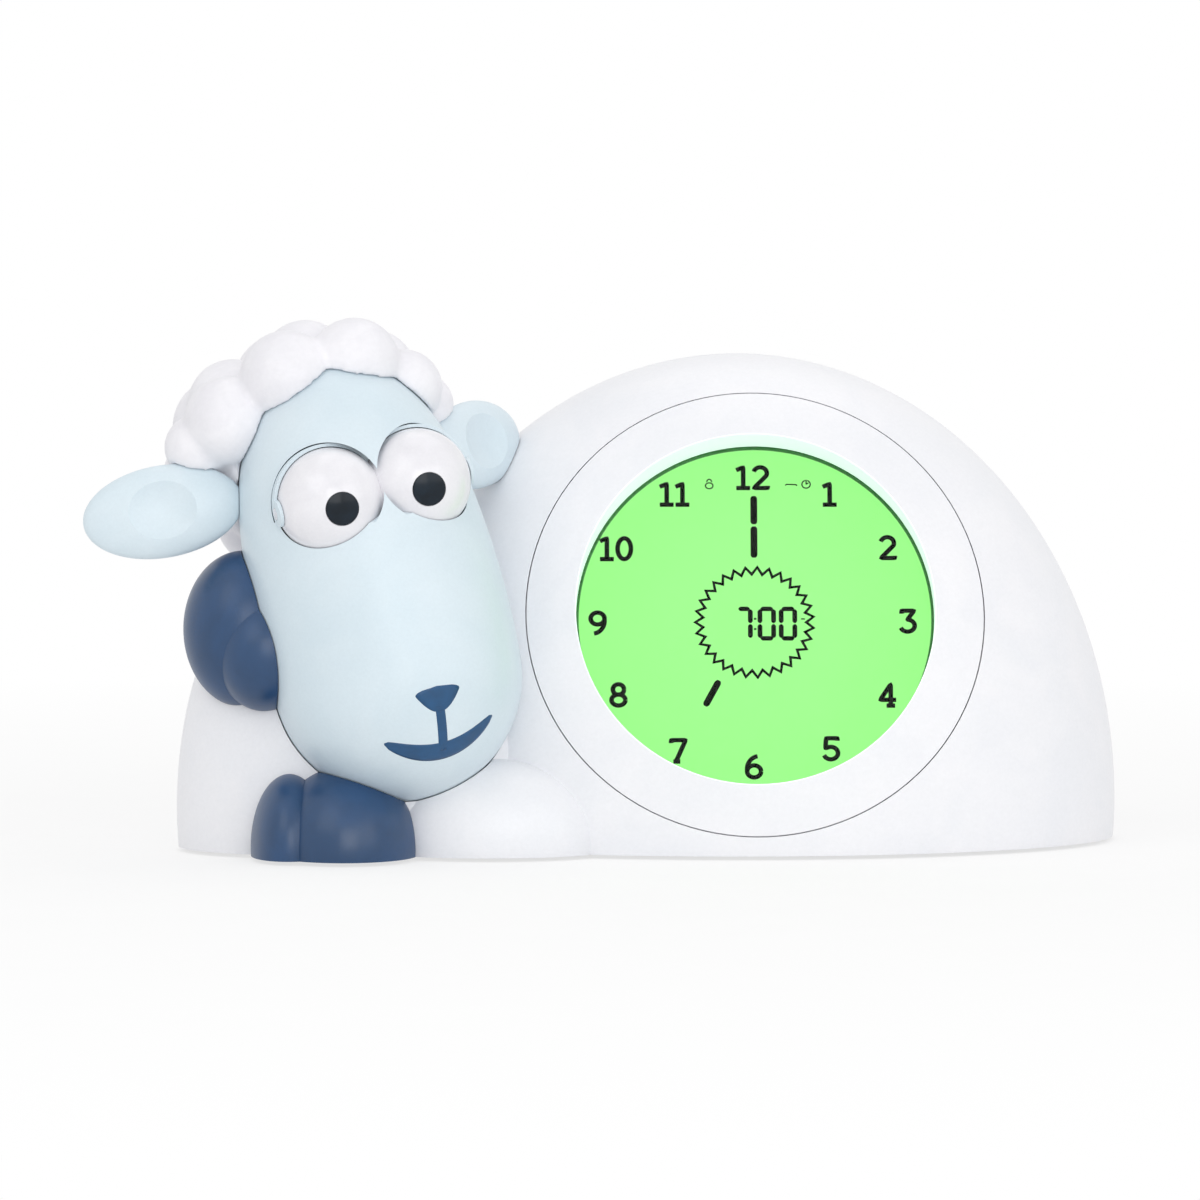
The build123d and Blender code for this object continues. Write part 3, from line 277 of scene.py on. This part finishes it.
def ring_finish():
    """The dial ring: the shell's satin ABS, with a painted pale green-grey glow on the wall of its opening that
    stands in for the display's light falling on it.
    """
    made = moulded("ABS moulded satin white, painted glow at the lip", **shell_look)
    tree = made.node_tree
    shader = next(node for node in tree.nodes if node.type == "BSDF_PRINCIPLED")
    centre = dial_point(0.0, 0.0, 0.0)
    outward = dial_point(0.0, 0.0, 1 / MM) - centre
    place = add(tree, "ShaderNodeTexCoord").outputs["Object"]
    middle = add(tree, "ShaderNodeVectorMath", {"operation": "SUBTRACT", 1: centre}, {0: place}).outputs["Vector"]
    rise = add(tree, "ShaderNodeVectorMath", {"operation": "DOT_PRODUCT", 1: outward}, {0: middle}).outputs["Value"]
    length = add(tree, "ShaderNodeVectorMath", {"operation": "LENGTH"}, {0: middle}).outputs["Value"]
    # the distance from the dial's axis, from the distance to its centre and the rise along the axis
    flat = worked(tree, "SUBTRACT", worked(tree, "MULTIPLY", length, length), worked(tree, "MULTIPLY", rise, rise))
    radius = worked(tree, "SQRT", flat)
    # painted light: the wall of the opening glows, standing in for the display's light on it, and the glow fades out
    # just beyond the window's radius
    lip = ranged(tree, radius, ((view_radius + 0.05) * MM, (view_radius + 0.3) * MM), (1.0, 0.0))
    shader.inputs["Emission Color"].default_value = linear("A0B8B0")
    tree.links.new(lip, shader.inputs["Emission Strength"])
    return made


board_mask = board_finish()
# The window has an anti-glare coating, so it mirrors less than bare acrylic: an index of 1.2 gives that weak mirror.
window_acrylic = acrylic_finish("Acrylic cast clear window, coated", rough=0.01, haze=3.0, index=1.2)
# The light guide is bare acrylic with a frosted look.
guide_acrylic = acrylic_finish("Acrylic moulded light guide", rough=0.12, haze=1.5, index=1.49)
lit_glass = lit_glass_finish()
ring_abs_painted_glow = ring_finish()
# Display segments are the dark state of the liquid crystal: near black with a green cast and no gloss of their own.
segment_dark = moulded("Liquid crystal dark segment", "0D160D", "080E08",
                       rough=0.6, grain=0.4, depth=0.01, flow=6.0, mirror=0.0)
# The display's rim mask is a dark green ring round the window's edge: partly a screen-printed border, partly painted
# shade for the shadow gap at the foot of the opening's wall.
rim_mask_and_gap_shade = moulded("Screen printed rim mask and painted gap shade", "4F9450", "458746",
                   rough=0.6, grain=0.5, depth=0.01, flow=8.0, mirror=0.0)

finishes = {
    "shell_white": shell_abs,
    "fleece_white": fleece_vinyl,
    "face_blue": face_abs,
    "hoof_blue": hoof_abs,
    "eye_white": eye_abs,
    "pupil_dark": pupil_ink,
    "clear_window": window_acrylic,
    "lcd_green": lit_glass,
    "guide_clear": guide_acrylic,
    "inner_white": inner_abs,
    "black_plastic": black_pbt,
    "led_white": led_epoxy,
    "board_green": board_mask,
    "key_blue": key_silicone,
    "gear_nylon": gear_acetal,
    "steel": screw_steel,
    "contact_metal": contact_nickel,
    "cell_sleeve": cell_sleeve,
    "cone_paper": cone_paper,
    "foot_rubber": foot_rubber,
}
slot_of = {part["node"]: part["material_slot"] for part in frame["record"]["subparts"]}
body_of = {node: body for body, nodes in frame["record"]["behaviour"]["bodies"].items() for node in nodes}

for node, piece in frame["nodes"].items():
    for held in piece.material_slots:
        held.material = finishes[slot_of[node]]


def settle(name, mesh, material, body, slot, *nodes):
    """Puts a finished mesh in the scene, gives it its material and hangs it on its body."""
    mesh.materials.clear()
    mesh.materials.append(material)
    piece = bpy.data.objects.new(name, mesh)
    bpy.context.scene.collection.objects.link(piece)
    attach(piece, body)
    if nodes:
        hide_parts(*nodes)
    return piece


def flattened(owner):
    """The evaluated mesh of a working object, which is then thrown away."""
    bpy.context.view_layer.update()
    graph = bpy.context.evaluated_depsgraph_get()
    mesh = bpy.data.meshes.new_from_object(owner.evaluated_get(graph), depsgraph=graph)
    bpy.data.objects.remove(owner)
    return mesh


def meshed(name, shape):
    """The plain mesh of a bmesh, which is then freed."""
    mesh = bpy.data.meshes.new(name)
    shape.to_mesh(mesh)
    shape.free()
    return mesh


def merged_copy(node):
    """A CAD node's mesh with its loose triangles joined at their corners."""
    joined = bmesh.new()
    joined.from_mesh(frame["nodes"][node].data)
    bmesh.ops.remove_doubles(joined, verts=joined.verts, dist=weld_gap)
    return joined


def smooth_moulding(node, material):
    """Shows a CAD moulding with smooth skin between its true edges."""
    joined = merged_copy(node)
    for face in joined.faces:
        face.smooth = True
    for edge in joined.edges:
        edge.smooth = len(edge.link_faces) == 2 and edge.calc_face_angle(0.0) < true_edge
    name = node + "_skin"
    settle(name, meshed(name, joined), material, body_of[node], slot_of[node], node)


for node in ("front_shell", "rear_shell", "face_shell", "head_back", "ear_left", "ear_right", "eyeballs", "pupils",
             "eyelids", "hoof_upper", "hoof_lower", "dial_bezel", "battery_door", "mode_switch_knob",
             "button_clock", "button_alarm", "button_hour", "button_minute", "button_light", "button_sound",
             "rubber_feet", "base_plate"):
    smooth_moulding(node, ring_abs_painted_glow if node == "dial_bezel" else finishes[slot_of[node]])


def soft_fleece():
    """The curls of the fleece, melted together as one soft moulding."""
    work = bpy.data.objects.new("fleece_work", meshed("fleece_work", merged_copy("fleece")))
    bpy.context.scene.collection.objects.link(work)
    skin = work.modifiers.new("skin", "REMESH")
    skin.mode = "VOXEL"
    skin.voxel_size = 0.8 * MM
    skin.use_smooth_shade = True
    ease = work.modifiers.new("ease", "SMOOTH")
    ease.factor = 0.5
    ease.iterations = 8
    settle("fleece_curls", flattened(work), fleece_vinyl, "clock", "fleece_white", "fleece")


soft_fleece()


def lathe(name, profile):
    """A ring or disc turned about the dial's axis from (radius, level) corners in millimetres."""
    turned = bmesh.new()
    turns = [2 * math.pi * i / turn_sides for i in range(turn_sides)]
    rows = []
    for radius, level in profile:
        if radius == 0:
            rows.append([turned.verts.new(dial_point(0.0, 0.0, level))])
            continue
        rows.append([turned.verts.new(dial_point(radius * math.cos(a), radius * math.sin(a), level)) for a in turns])
    pairs = list(zip(rows, rows[1:]))
    if profile[0][0] != 0:
        pairs.append((rows[-1], rows[0]))
    for near, far in pairs:
        for i in range(turn_sides):
            j = (i + 1) % turn_sides
            ring = [near[i % len(near)], near[j % len(near)], far[j % len(far)], far[i % len(far)]]
            turned.faces.new(list(dict.fromkeys(ring)))
    bmesh.ops.recalc_face_normals(turned, faces=turned.faces)
    return meshed(name, turned)


# the display glass has a ground edge, wider at the back than at the front, and a dark ring round its front: partly a
# printed mask, partly painted shade for the shadow gap under the wall of the opening
back_bevel, front_bevel = 0.3, 0.2
glass = lathe("display_glass", [
    (0, lcd_bottom), (stack_radius - back_bevel, lcd_bottom), (stack_radius, lcd_bottom + back_bevel),
    (stack_radius, lcd_top - front_bevel), (stack_radius - front_bevel, lcd_top), (0, lcd_top)])
settle("display_glass", glass, lit_glass, "clock", "lcd_green", "lcd_panel")
ink_low, ink_high = ink_level - ink_half, ink_level + ink_half
border = lathe("display_rim_mask", [
    (mask_inner, ink_low), (mask_outer, ink_low), (mask_outer, ink_high), (mask_inner, ink_high)])
settle("display_rim_mask", border, rim_mask_and_gap_shade, "clock", "lcd_green")


def arc(cx, cy, rx, ry, start, end, steps=12):
    """Points along an ellipse from one angle to another, in degrees."""
    turns = [math.radians(start + (end - start) * i / steps) for i in range(steps + 1)]
    return [(cx + rx * math.cos(a), cy + ry * math.sin(a)) for a in turns]


# dial numerals as pen strokes in a box one high and about 0.7 wide
numeral_strokes = {
    "0": [arc(0.35, 0.5, 0.25, 0.42, 0, 360, 24)],
    "1": [[(0.10, 0.80), (0.36, 0.92), (0.36, 0.08)], [(0.10, 0.08), (0.62, 0.08)]],
    "2": [arc(0.34, 0.68, 0.25, 0.24, 165, -25) + [(0.10, 0.08), (0.62, 0.08), (0.62, 0.17)]],
    "3": [[(0.10, 0.80), (0.10, 0.92), (0.57, 0.92), (0.32, 0.57)] + arc(0.32, 0.32, 0.27, 0.24, 85, -160)],
    "4": [[(0.46, 0.07), (0.46, 0.92), (0.07, 0.30), (0.66, 0.30)], [(0.30, 0.07), (0.62, 0.07)]],
    "5": [[(0.57, 0.82), (0.57, 0.92), (0.15, 0.92), (0.12, 0.53)] + arc(0.32, 0.33, 0.27, 0.25, 125, -160)],
    "6": [arc(0.35, 0.32, 0.26, 0.24, 0, 360, 20), arc(0.52, 0.40, 0.43, 0.52, 95, 190)],
    "7": [[(0.08, 0.80), (0.08, 0.92), (0.62, 0.92), (0.26, 0.07)], [(0.16, 0.07), (0.42, 0.07)]],
    "8": [arc(0.35, 0.71, 0.21, 0.21, 0, 360, 20), arc(0.35, 0.29, 0.26, 0.22, 0, 360, 20)],
    "9": [arc(0.35, 0.68, 0.26, 0.24, 0, 360, 20), arc(0.18, 0.60, 0.43, 0.52, -85, 10)],
}
# where each number stands, right and up from the middle of the display in millimetres
number_places = {
    "12": (0.0, 38.8), "1": (19.3, 34.3), "2": (33.7, 19.9), "3": (38.7, 0.1), "4": (33.4, -19.6), "5": (19.3, -34.0),
    "6": (0.0, -38.8), "7": (-18.8, -34.5), "8": (-33.7, -19.6), "9": (-38.9, -0.4), "10": (-34.2, 19.6),
    "11": (-19.6, 34.3),
}
# the printed display sits a little low and left in its window, and is slightly squat
ink_shift = (-0.4, -0.45)
ink_squeeze = 0.962
# pens, and the height and step of a numeral, in millimetres; a 1 takes less room
numeral_pen, hand_pen, figure_pen, sign_pen = 1.17, 1.7, 1.2, 0.32
numeral_high = 6.7
numeral_step, one_step = 4.75, 3.95


def ink_point(x, y, height):
    """A point of the printed display, as metres in the frame; its height runs from -1 to 1 through the ink."""
    return dial_point(x + ink_shift[0], y * ink_squeeze + ink_shift[1], ink_level + height * ink_half)


def eased(points, near=0.3, most=0.4):
    """The stroke with a point added close to each corner, so that a sharp corner doesn't thin the bars beside it."""
    if len(points) < 3 or len(points[0]) > 2:
        return points
    full = [points[0]]
    for (ax, ay), (bx, by) in zip(points, points[1:]):
        part = min(most, near / max(1e-6, math.hypot(bx - ax, by - ay)))
        full += [(ax + (bx - ax) * t, ay + (by - ay) * t) for t in (part, 1 - part, 1.0)]
    return full


def inked(name, strokes, pen):
    """Flat strokes on the display: each is a list of (right, up) or (right, up, fullness) points in millimetres."""
    curve = bpy.data.curves.new(name, "CURVE")
    curve.dimensions = "3D"
    curve.bevel_depth = pen / 2 * MM
    curve.bevel_resolution = 1
    curve.use_fill_caps = True
    for points in map(eased, strokes):
        line = curve.splines.new("POLY")
        line.points.add(len(points) - 1)
        for spot, (x, y, *full) in zip(line.points, points):
            spot.co = (x * MM, y * MM, 0.0, 1.0)
            spot.radius = full[0] if full else 1.0
    work = bpy.data.objects.new(name, curve)
    bpy.context.scene.collection.objects.link(work)
    mesh = flattened(work)
    for corner in mesh.vertices:
        x, y, z = corner.co / MM
        corner.co = ink_point(x, y, z / (pen / 2))
    settle(name, mesh, segment_dark, "clock", "lcd_green")


def tapered(ax, ay, bx, by, tip, end=0.5):
    """A bar from one point to another whose ends round off over the tip length."""
    long = math.hypot(bx - ax, by - ay)
    dx, dy = (bx - ax) / long * tip, (by - ay) / long * tip
    shoulder, fullness = 0.4, (1 + end) / 2
    return [(ax, ay, end), (ax + dx * shoulder, ay + dy * shoulder, fullness), (ax + dx, ay + dy, 1.0),
            (bx - dx, by - dy, 1.0), (bx - dx * shoulder, by - dy * shoulder, fullness), (bx, by, end)]


numbers = []
for word, (x, y) in number_places.items():
    steps = [one_step if figure == "1" else numeral_step for figure in word]
    for i, figure in enumerate(word):
        middle = x - sum(steps) / 2 + sum(steps[:i]) + steps[i] / 2
        left = middle - (0.36 if figure == "1" else 0.35) * numeral_high
        for stroke in numeral_strokes[figure]:
            numbers.append([(left + px * numeral_high, y + (py - 0.5) * numeral_high) for px, py in stroke])
inked("dial_numbers", numbers, numeral_pen)

# the long hand is two bars that point up, the short one a single bar towards the 7
hands = [tapered(0.25, 17.2, 0.25, 25.6, tip=0.6), tapered(0.25, 26.2, 0.25, 33.8, tip=0.6),
         tapered(-8.6, -15.8, -12.1, -22.6, tip=0.7)]
inked("dial_hands", hands, hand_pen)

# seven-bar figures: left edge, width and lit bars of each, between the foot and the top of the time
figure_foot, figure_middle, figure_top = -4.5, -0.55, 3.4
bar_gap = 0.14
nought = ("top", "upper_left", "upper_right", "lower_left", "lower_right", "foot")
figures = [(-3.85, 3.1, ("top", "upper_right", "lower_right")), (1.65, 3.4, nought), (6.95, 3.4, nought)]
bars = []
for left, wide, lit in figures:
    right = left + wide
    bar_ends = {
        "top": (left, figure_top, right, figure_top),
        "upper_left": (left, figure_middle, left, figure_top),
        "upper_right": (right, figure_middle, right, figure_top),
        "lower_left": (left, figure_foot, left, figure_middle),
        "lower_right": (right, figure_foot, right, figure_middle),
        "foot": (left, figure_foot, right, figure_foot),
    }
    for key in lit:
        ax, ay, bx, by = bar_ends[key]
        cut = bar_gap / math.hypot(bx - ax, by - ay)
        bars.append(tapered(ax + (bx - ax) * cut, ay + (by - ay) * cut,
                            bx - (bx - ax) * cut, by - (by - ay) * cut, tip=0.5, end=0.3))
# the colon: its two dots, half as full as a bar
bars += [[(0.45, low, 0.5), (0.45, low + 0.5, 0.5)] for low in (-2.25, 0.5)]
inked("dial_figures", bars, figure_pen)

# small signs: a padlock, a snooze bar, a clock face with its hands, and a dash beside the time
signs = [
    arc(-10.9, 36.6, 0.95, 0.8, 0, 360, 14), arc(-10.9, 37.6, 0.6, 0.75, 0, 180, 8),
    [(8.2, 36.7), (8.5, 37.0), (10.9, 36.9), (11.1, 36.6)],
    arc(13.4, 37.0, 1.05, 1.05, 105, 435, 18), [(13.4, 38.2), (13.4, 37.0), (14.0, 37.4)],
    [(11.9, 0.7), (12.9, 0.7)],
]
inked("dial_signs", signs, sign_pen)


def maker_tree(name, inputs):
    """A geometry tree with its named inputs and its input node."""
    tree = bpy.data.node_groups.new(name, "GeometryNodeTree")
    tree.interface.new_socket("Geometry", in_out="INPUT", socket_type="NodeSocketGeometry")
    for label, kind in inputs.items():
        tree.interface.new_socket(label, in_out="INPUT", socket_type="NodeSocket" + kind)
    tree.interface.new_socket("Geometry", in_out="OUTPUT", socket_type="NodeSocketGeometry")
    return tree, add(tree, "NodeGroupInput")


def ended(tree, given, shape):
    """Ends a geometry tree with plain meshes in the given material."""
    real = add(tree, "GeometryNodeRealizeInstances", {}, {"Geometry": shape})
    painted = add(tree, "GeometryNodeSetMaterial", {}, {"Geometry": real.outputs["Geometry"],
                                                       "Material": given.outputs["Material"]})
    add(tree, "NodeGroupOutput", {}, {"Geometry": painted.outputs["Geometry"]})
    return tree


def grown(tree, inputs):
    """Runs a geometry tree with its named inputs set and gives the plain mesh."""
    work = bpy.data.objects.new("work", bpy.data.meshes.new("work"))
    bpy.context.scene.collection.objects.link(work)
    maker = work.modifiers.new("maker", "NODES")
    maker.node_group = tree
    for item in tree.interface.items_tree:
        if item.item_type == "SOCKET" and item.in_out == "INPUT" and item.name in inputs:
            maker[item.identifier] = inputs[item.name]
    return flattened(work)


def toothed_tree():
    """Geometry nodes for the toothed ring on the display: a circle whose points step out and in, drawn as a line."""
    tree, given = maker_tree("toothed_ring", {"Teeth": "Int", "Inner Radius": "Float", "Outer Radius": "Float",
                                              "Line": "Float", "Material": "Material"})
    count = add(tree, "ShaderNodeMath", {"operation": "MULTIPLY", 1: 2.0}, {0: given.outputs["Teeth"]})
    circle = add(tree, "GeometryNodeCurvePrimitiveCircle", {"Radius": 1.0}, {"Resolution": count.outputs[0]})
    order = add(tree, "GeometryNodeInputIndex")
    parity = add(tree, "ShaderNodeMath", {"operation": "MODULO", 1: 2.0}, {0: order.outputs["Index"]})
    reach = add(tree, "ShaderNodeMix", {}, {0: parity.outputs[0], 2: given.outputs["Inner Radius"],
                                            3: given.outputs["Outer Radius"]})
    spot = add(tree, "GeometryNodeInputPosition")
    moved = add(tree, "ShaderNodeVectorMath", {"operation": "SCALE"}, {0: spot.outputs["Position"],
                                                                      "Scale": reach.outputs[0]})
    ring = add(tree, "GeometryNodeSetPosition", {}, {"Geometry": circle.outputs["Curve"],
                                                    "Position": moved.outputs["Vector"]})
    pen = add(tree, "GeometryNodeCurvePrimitiveCircle", {"Resolution": 6}, {"Radius": given.outputs["Line"]})
    drawn = add(tree, "GeometryNodeCurveToMesh", {}, {"Curve": ring.outputs["Geometry"],
                                                     "Profile Curve": pen.outputs["Curve"]})
    return ended(tree, given, drawn.outputs["Mesh"])


# the toothed ring's pen is wide, because a sharp corner thins the line beside it
ring_middle = (0.3, -0.2)
ring_pen = 0.55
ring = grown(toothed_tree(), {"Teeth": 31, "Inner Radius": 12.9 * MM, "Outer Radius": 14.8 * MM,
                              "Line": ring_pen * MM, "Material": segment_dark})
for corner in ring.vertices:
    x, y, z = corner.co / MM
    corner.co = ink_point(x + ring_middle[0], y + ring_middle[1], z / ring_pen)
settle("dial_toothed_ring", ring, segment_dark, "clock", "lcd_green")


def egg_width(w):
    """The head's radius at a height in its own frame."""
    if w > egg_belly:
        return egg_radius * math.sqrt(max(0.0, 1 - ((w - egg_belly) / (egg_crown - egg_belly)) ** egg_power))
    return egg_radius * math.sqrt(max(0.0, 1 - ((egg_belly - w) / (egg_belly - egg_chin)) ** 2))


def egg_skin(u, w):
    """The point of the egg's front at a place right and up in the head's frame: right, forward and up."""
    return Vector((u, math.sqrt(max(0.0, egg_width(w) ** 2 - u * u)), w))


def face_point(u, w, lift, near=0.05):
    """A point on the face, right and up in the head's frame, raised by lift, as metres in the frame."""
    across = egg_skin(u + near, w) - egg_skin(u - near, w)
    along = egg_skin(u, w + near) - egg_skin(u, w - near)
    out = along.cross(across).normalized()
    if out.y < 0:
        out = -out
    spot = egg_skin(u, w) + out * lift
    return (head_origin + head_right * spot.x - head_back * spot.y + head_up * spot.z) * MM


# printed marks, in millimetres: how far the ink stands out in the middle and at its edge, and reaches under the skin
mark_lift, edge_lift, mark_root = 0.10, 0.02, -0.15
mark_cuts = 6


def face_print(name, outline_rows):
    """A thin printed patch on the face from rows of (left, right) points, each (u, w), with a rounded edge."""
    layer = bmesh.new()
    cuts = mark_cuts
    top, low = [], []
    for a, b in outline_rows:
        row = [(a[0] + (b[0] - a[0]) * i / cuts, a[1] + (b[1] - a[1]) * i / cuts) for i in range(cuts + 1)]
        lifts = [edge_lift if i in (0, cuts) else mark_lift for i in range(cuts + 1)]
        top.append([layer.verts.new(face_point(u, w, lift)) for (u, w), lift in zip(row, lifts)])
        low.append([layer.verts.new(face_point(u, w, mark_root)) for u, w in row])
    for sheet in (top, low):
        for near, far in zip(sheet, sheet[1:]):
            for i in range(cuts):
                layer.faces.new((near[i], near[i + 1], far[i + 1], far[i]))
    for side in (0, cuts):
        for k in range(len(top) - 1):
            layer.faces.new((top[k][side], top[k + 1][side], low[k + 1][side], low[k][side]))
    for end in (0, -1):
        for i in range(cuts):
            layer.faces.new((top[end][i], top[end][i + 1], low[end][i + 1], low[end][i]))
    bmesh.ops.recalc_face_normals(layer, faces=layer.faces)
    mesh = meshed(name, layer)
    mesh.shade_smooth()
    settle(name, mesh, mark_ink, "clock", "hoof_blue")


# a plain rounded-triangle nose, a stem and a shallow smile, printed on the muzzle
least_half = 0.2
nose_steps, nose_top, nose_high, nose_half, nose_round, nose_taper = 20, -27.4, 6.2, 6.4, 0.25, 0.55
nose_middle, nose_lean, nose_tilt = 0.6, 0.2, 0.03
nose_rows = []
for i in range(nose_steps + 1):
    t = i / nose_steps
    bulge = math.sqrt(1 - max(0.0, 1 - t / nose_round) ** 2)
    half = nose_half * bulge * (1 - t) ** nose_taper + least_half
    middle = nose_middle - nose_lean * t
    level = nose_top - nose_high * t
    nose_rows.append(((middle - half, level), (middle + half, level - nose_tilt * half)))
face_print("nose_mark", nose_rows)

stem_left, stem_right, stem_top, stem_step, stem_count = -0.75, 1.65, -32.4, 0.85, 13
stem_levels = [stem_top - stem_step * i for i in range(stem_count)]
face_print("stem_mark", [((stem_left, level), (stem_right, level)) for level in stem_levels])

smile_steps, smile_reach, smile_low, smile_rise, smile_thick, smile_taper = 16, 14.2, -42.6, 5.2, 1.7, 2.6
smile_middle, smile_tilt = 0.5, 0.4
smile_rows = []
for i in range(2 * smile_steps + 1):
    t = -1 + i / smile_steps
    u = smile_middle + smile_reach * t
    w = smile_low + smile_rise * t * t + smile_tilt * t
    half = smile_thick * math.sqrt(max(0.0, 1 - abs(t) ** smile_taper)) + least_half
    smile_rows.append(((u, w - half), (u, w + half)))
face_print("smile_mark", smile_rows)


def rib_tree():
    """Geometry nodes for grip ribs: a row of points, each carrying one round bar."""
    tree, given = maker_tree("grip_ribs", {"Ribs": "Int", "Start": "Vector", "Step": "Vector", "Length": "Float",
                                           "Thickness": "Float", "Material": "Material"})
    row = add(tree, "GeometryNodeMeshLine", {"mode": "OFFSET"}, {"Count": given.outputs["Ribs"],
                                                                "Start Location": given.outputs["Start"],
                                                                "Offset": given.outputs["Step"]})
    half = add(tree, "ShaderNodeMath", {"operation": "MULTIPLY", 1: 0.5}, {0: given.outputs["Length"]})
    back = add(tree, "ShaderNodeMath", {"operation": "MULTIPLY", 1: -0.5}, {0: given.outputs["Length"]})
    low = add(tree, "ShaderNodeCombineXYZ", {}, {"Z": back.outputs[0]})
    high = add(tree, "ShaderNodeCombineXYZ", {}, {"Z": half.outputs[0]})
    spine = add(tree, "GeometryNodeCurvePrimitiveLine", {}, {"Start": low.outputs[0], "End": high.outputs[0]})
    pen = add(tree, "GeometryNodeCurvePrimitiveCircle", {"Resolution": 10}, {"Radius": given.outputs["Thickness"]})
    bar = add(tree, "GeometryNodeCurveToMesh", {"Fill Caps": True}, {"Curve": spine.outputs["Curve"],
                                                                    "Profile Curve": pen.outputs["Curve"]})
    set_out = add(tree, "GeometryNodeInstanceOnPoints", {}, {"Points": row.outputs["Mesh"],
                                                            "Instance": bar.outputs["Mesh"]})
    return ended(tree, given, set_out.outputs["Instances"])


# the ribs lie on the battery door, sunk a little into its outer face
_, door_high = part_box("battery_door")
door_ribs = grown(rib_tree(), {
    "Ribs": 7, "Start": (32.0 * MM, door_high[1] - 0.1 * MM, 29.0 * MM), "Step": (1.8 * MM, 0.0, 0.0),
    "Length": 16 * MM, "Thickness": 0.4 * MM, "Material": shell_abs})
settle("battery_door_grip", door_ribs, shell_abs, "battery_door", "shell_white")


def clear_rays(tree):
    """One for rays from the camera, from mirrors and through clear pieces, and nought for rays that carry light."""
    ray = add(tree, "ShaderNodeLightPath")
    through = worked(tree, "MAXIMUM", ray.outputs["Is Glossy Ray"], ray.outputs["Is Transmission Ray"])
    return worked(tree, "MAXIMUM", ray.outputs["Is Camera Ray"], through)


# The floor is a pale matt sheet with a faint dust mottle. Its own glow grows with the distance from the clock,
# so that it is white in the picture's corners and still takes the clock's shadow.
floor_mesh = bpy.data.meshes.new("floor")
floor_mesh.from_pydata([(-6, -4, 0), (6, -4, 0), (6, 14, 0), (-6, 14, 0)], [], [(0, 1, 2, 3)])
floor = bpy.data.objects.new("floor", floor_mesh)
bpy.context.scene.collection.objects.link(floor)
floor_paint, tree, place = blank("Studio floor matt white")
dust = add(tree, "ShaderNodeTexNoise", {"Scale": per_metre(25.0)}, {"Vector": place})
matt = two_tone(tree, "F4F4F4", "F8F8F8", dust.outputs["Fac"])
paper = add(tree, "ShaderNodeBsdfDiffuse", {}, {"Color": matt})
glow = add(tree, "ShaderNodeEmission", {"Color": (1.0, 1.0, 1.0, 1.0), "Strength": 1.0})
away = add(tree, "ShaderNodeVectorMath", {"operation": "LENGTH"}, {0: place})
reach = ranged(tree, away.outputs["Value"], (0.16, 0.6), (0.7, 1.0))
lit_part = worked(tree, "MULTIPLY", clear_rays(tree), reach)
both = add(tree, "ShaderNodeMixShader", {}, {0: lit_part, 1: paper.outputs[0], 2: glow.outputs[0]})
add(tree, "ShaderNodeOutputMaterial", {}, {"Surface": both.outputs[0]})
floor_mesh.materials.append(floor_paint)

# The room is white to the camera and in mirrors, and a little dimmer as a light.
room_light, room_seen = 0.73, 1.0
world = bpy.data.worlds.new("studio")
bpy.context.scene.world = world
world.use_nodes = True
tree = world.node_tree
tree.nodes.clear()
room = add(tree, "ShaderNodeMix", {2: room_light, 3: room_seen}, {0: clear_rays(tree)})
sky = add(tree, "ShaderNodeBackground", {"Color": (1.0, 1.0, 1.0, 1.0)}, {"Strength": room.outputs[0]})
add(tree, "ShaderNodeOutputWorld", {}, {"Surface": sky.outputs[0]})


def aimed(name, data, place, aim):
    """Puts a lamp or a camera in the scene, looking at a point."""
    piece = bpy.data.objects.new(name, data)
    piece.location = place
    piece.rotation_euler = (Vector(aim) - Vector(place)).to_track_quat("-Z", "Y").to_euler()
    bpy.context.scene.collection.objects.link(piece)
    return piece


def lamp(name, place, aim, size, power):
    """A square soft box that looks at a point."""
    light = bpy.data.lights.new(name, "AREA")
    light.size = size
    light.energy = power
    aimed(name, light, place, aim)


lamp("key_box", place=(-0.75, -1.0, 1.15), aim=(0.0, 0.0, 0.06), size=1.0, power=2.6)
lamp("fill_box", place=(1.0, -1.1, 0.6), aim=(0.0, 0.0, 0.06), size=0.9, power=2.4)
lamp("front_box", place=(0.25, -1.7, 0.55), aim=(-0.02, 0.0, 0.06), size=0.9, power=5.2)
lamp("top_box", place=(0.1, 0.35, 1.3), aim=(0.0, 0.0, 0.05), size=1.0, power=1.9)

lens = bpy.data.cameras.new("camera")
lens.sensor_width = 36.0
lens.lens = 238.8
lens.clip_end = 50.0
bpy.context.scene.camera = aimed("camera", lens, place=(0.0, -1.996, 0.188), aim=(0.0, 0.004, 0.062))
bpy.context.scene.view_settings.view_transform = "Standard"
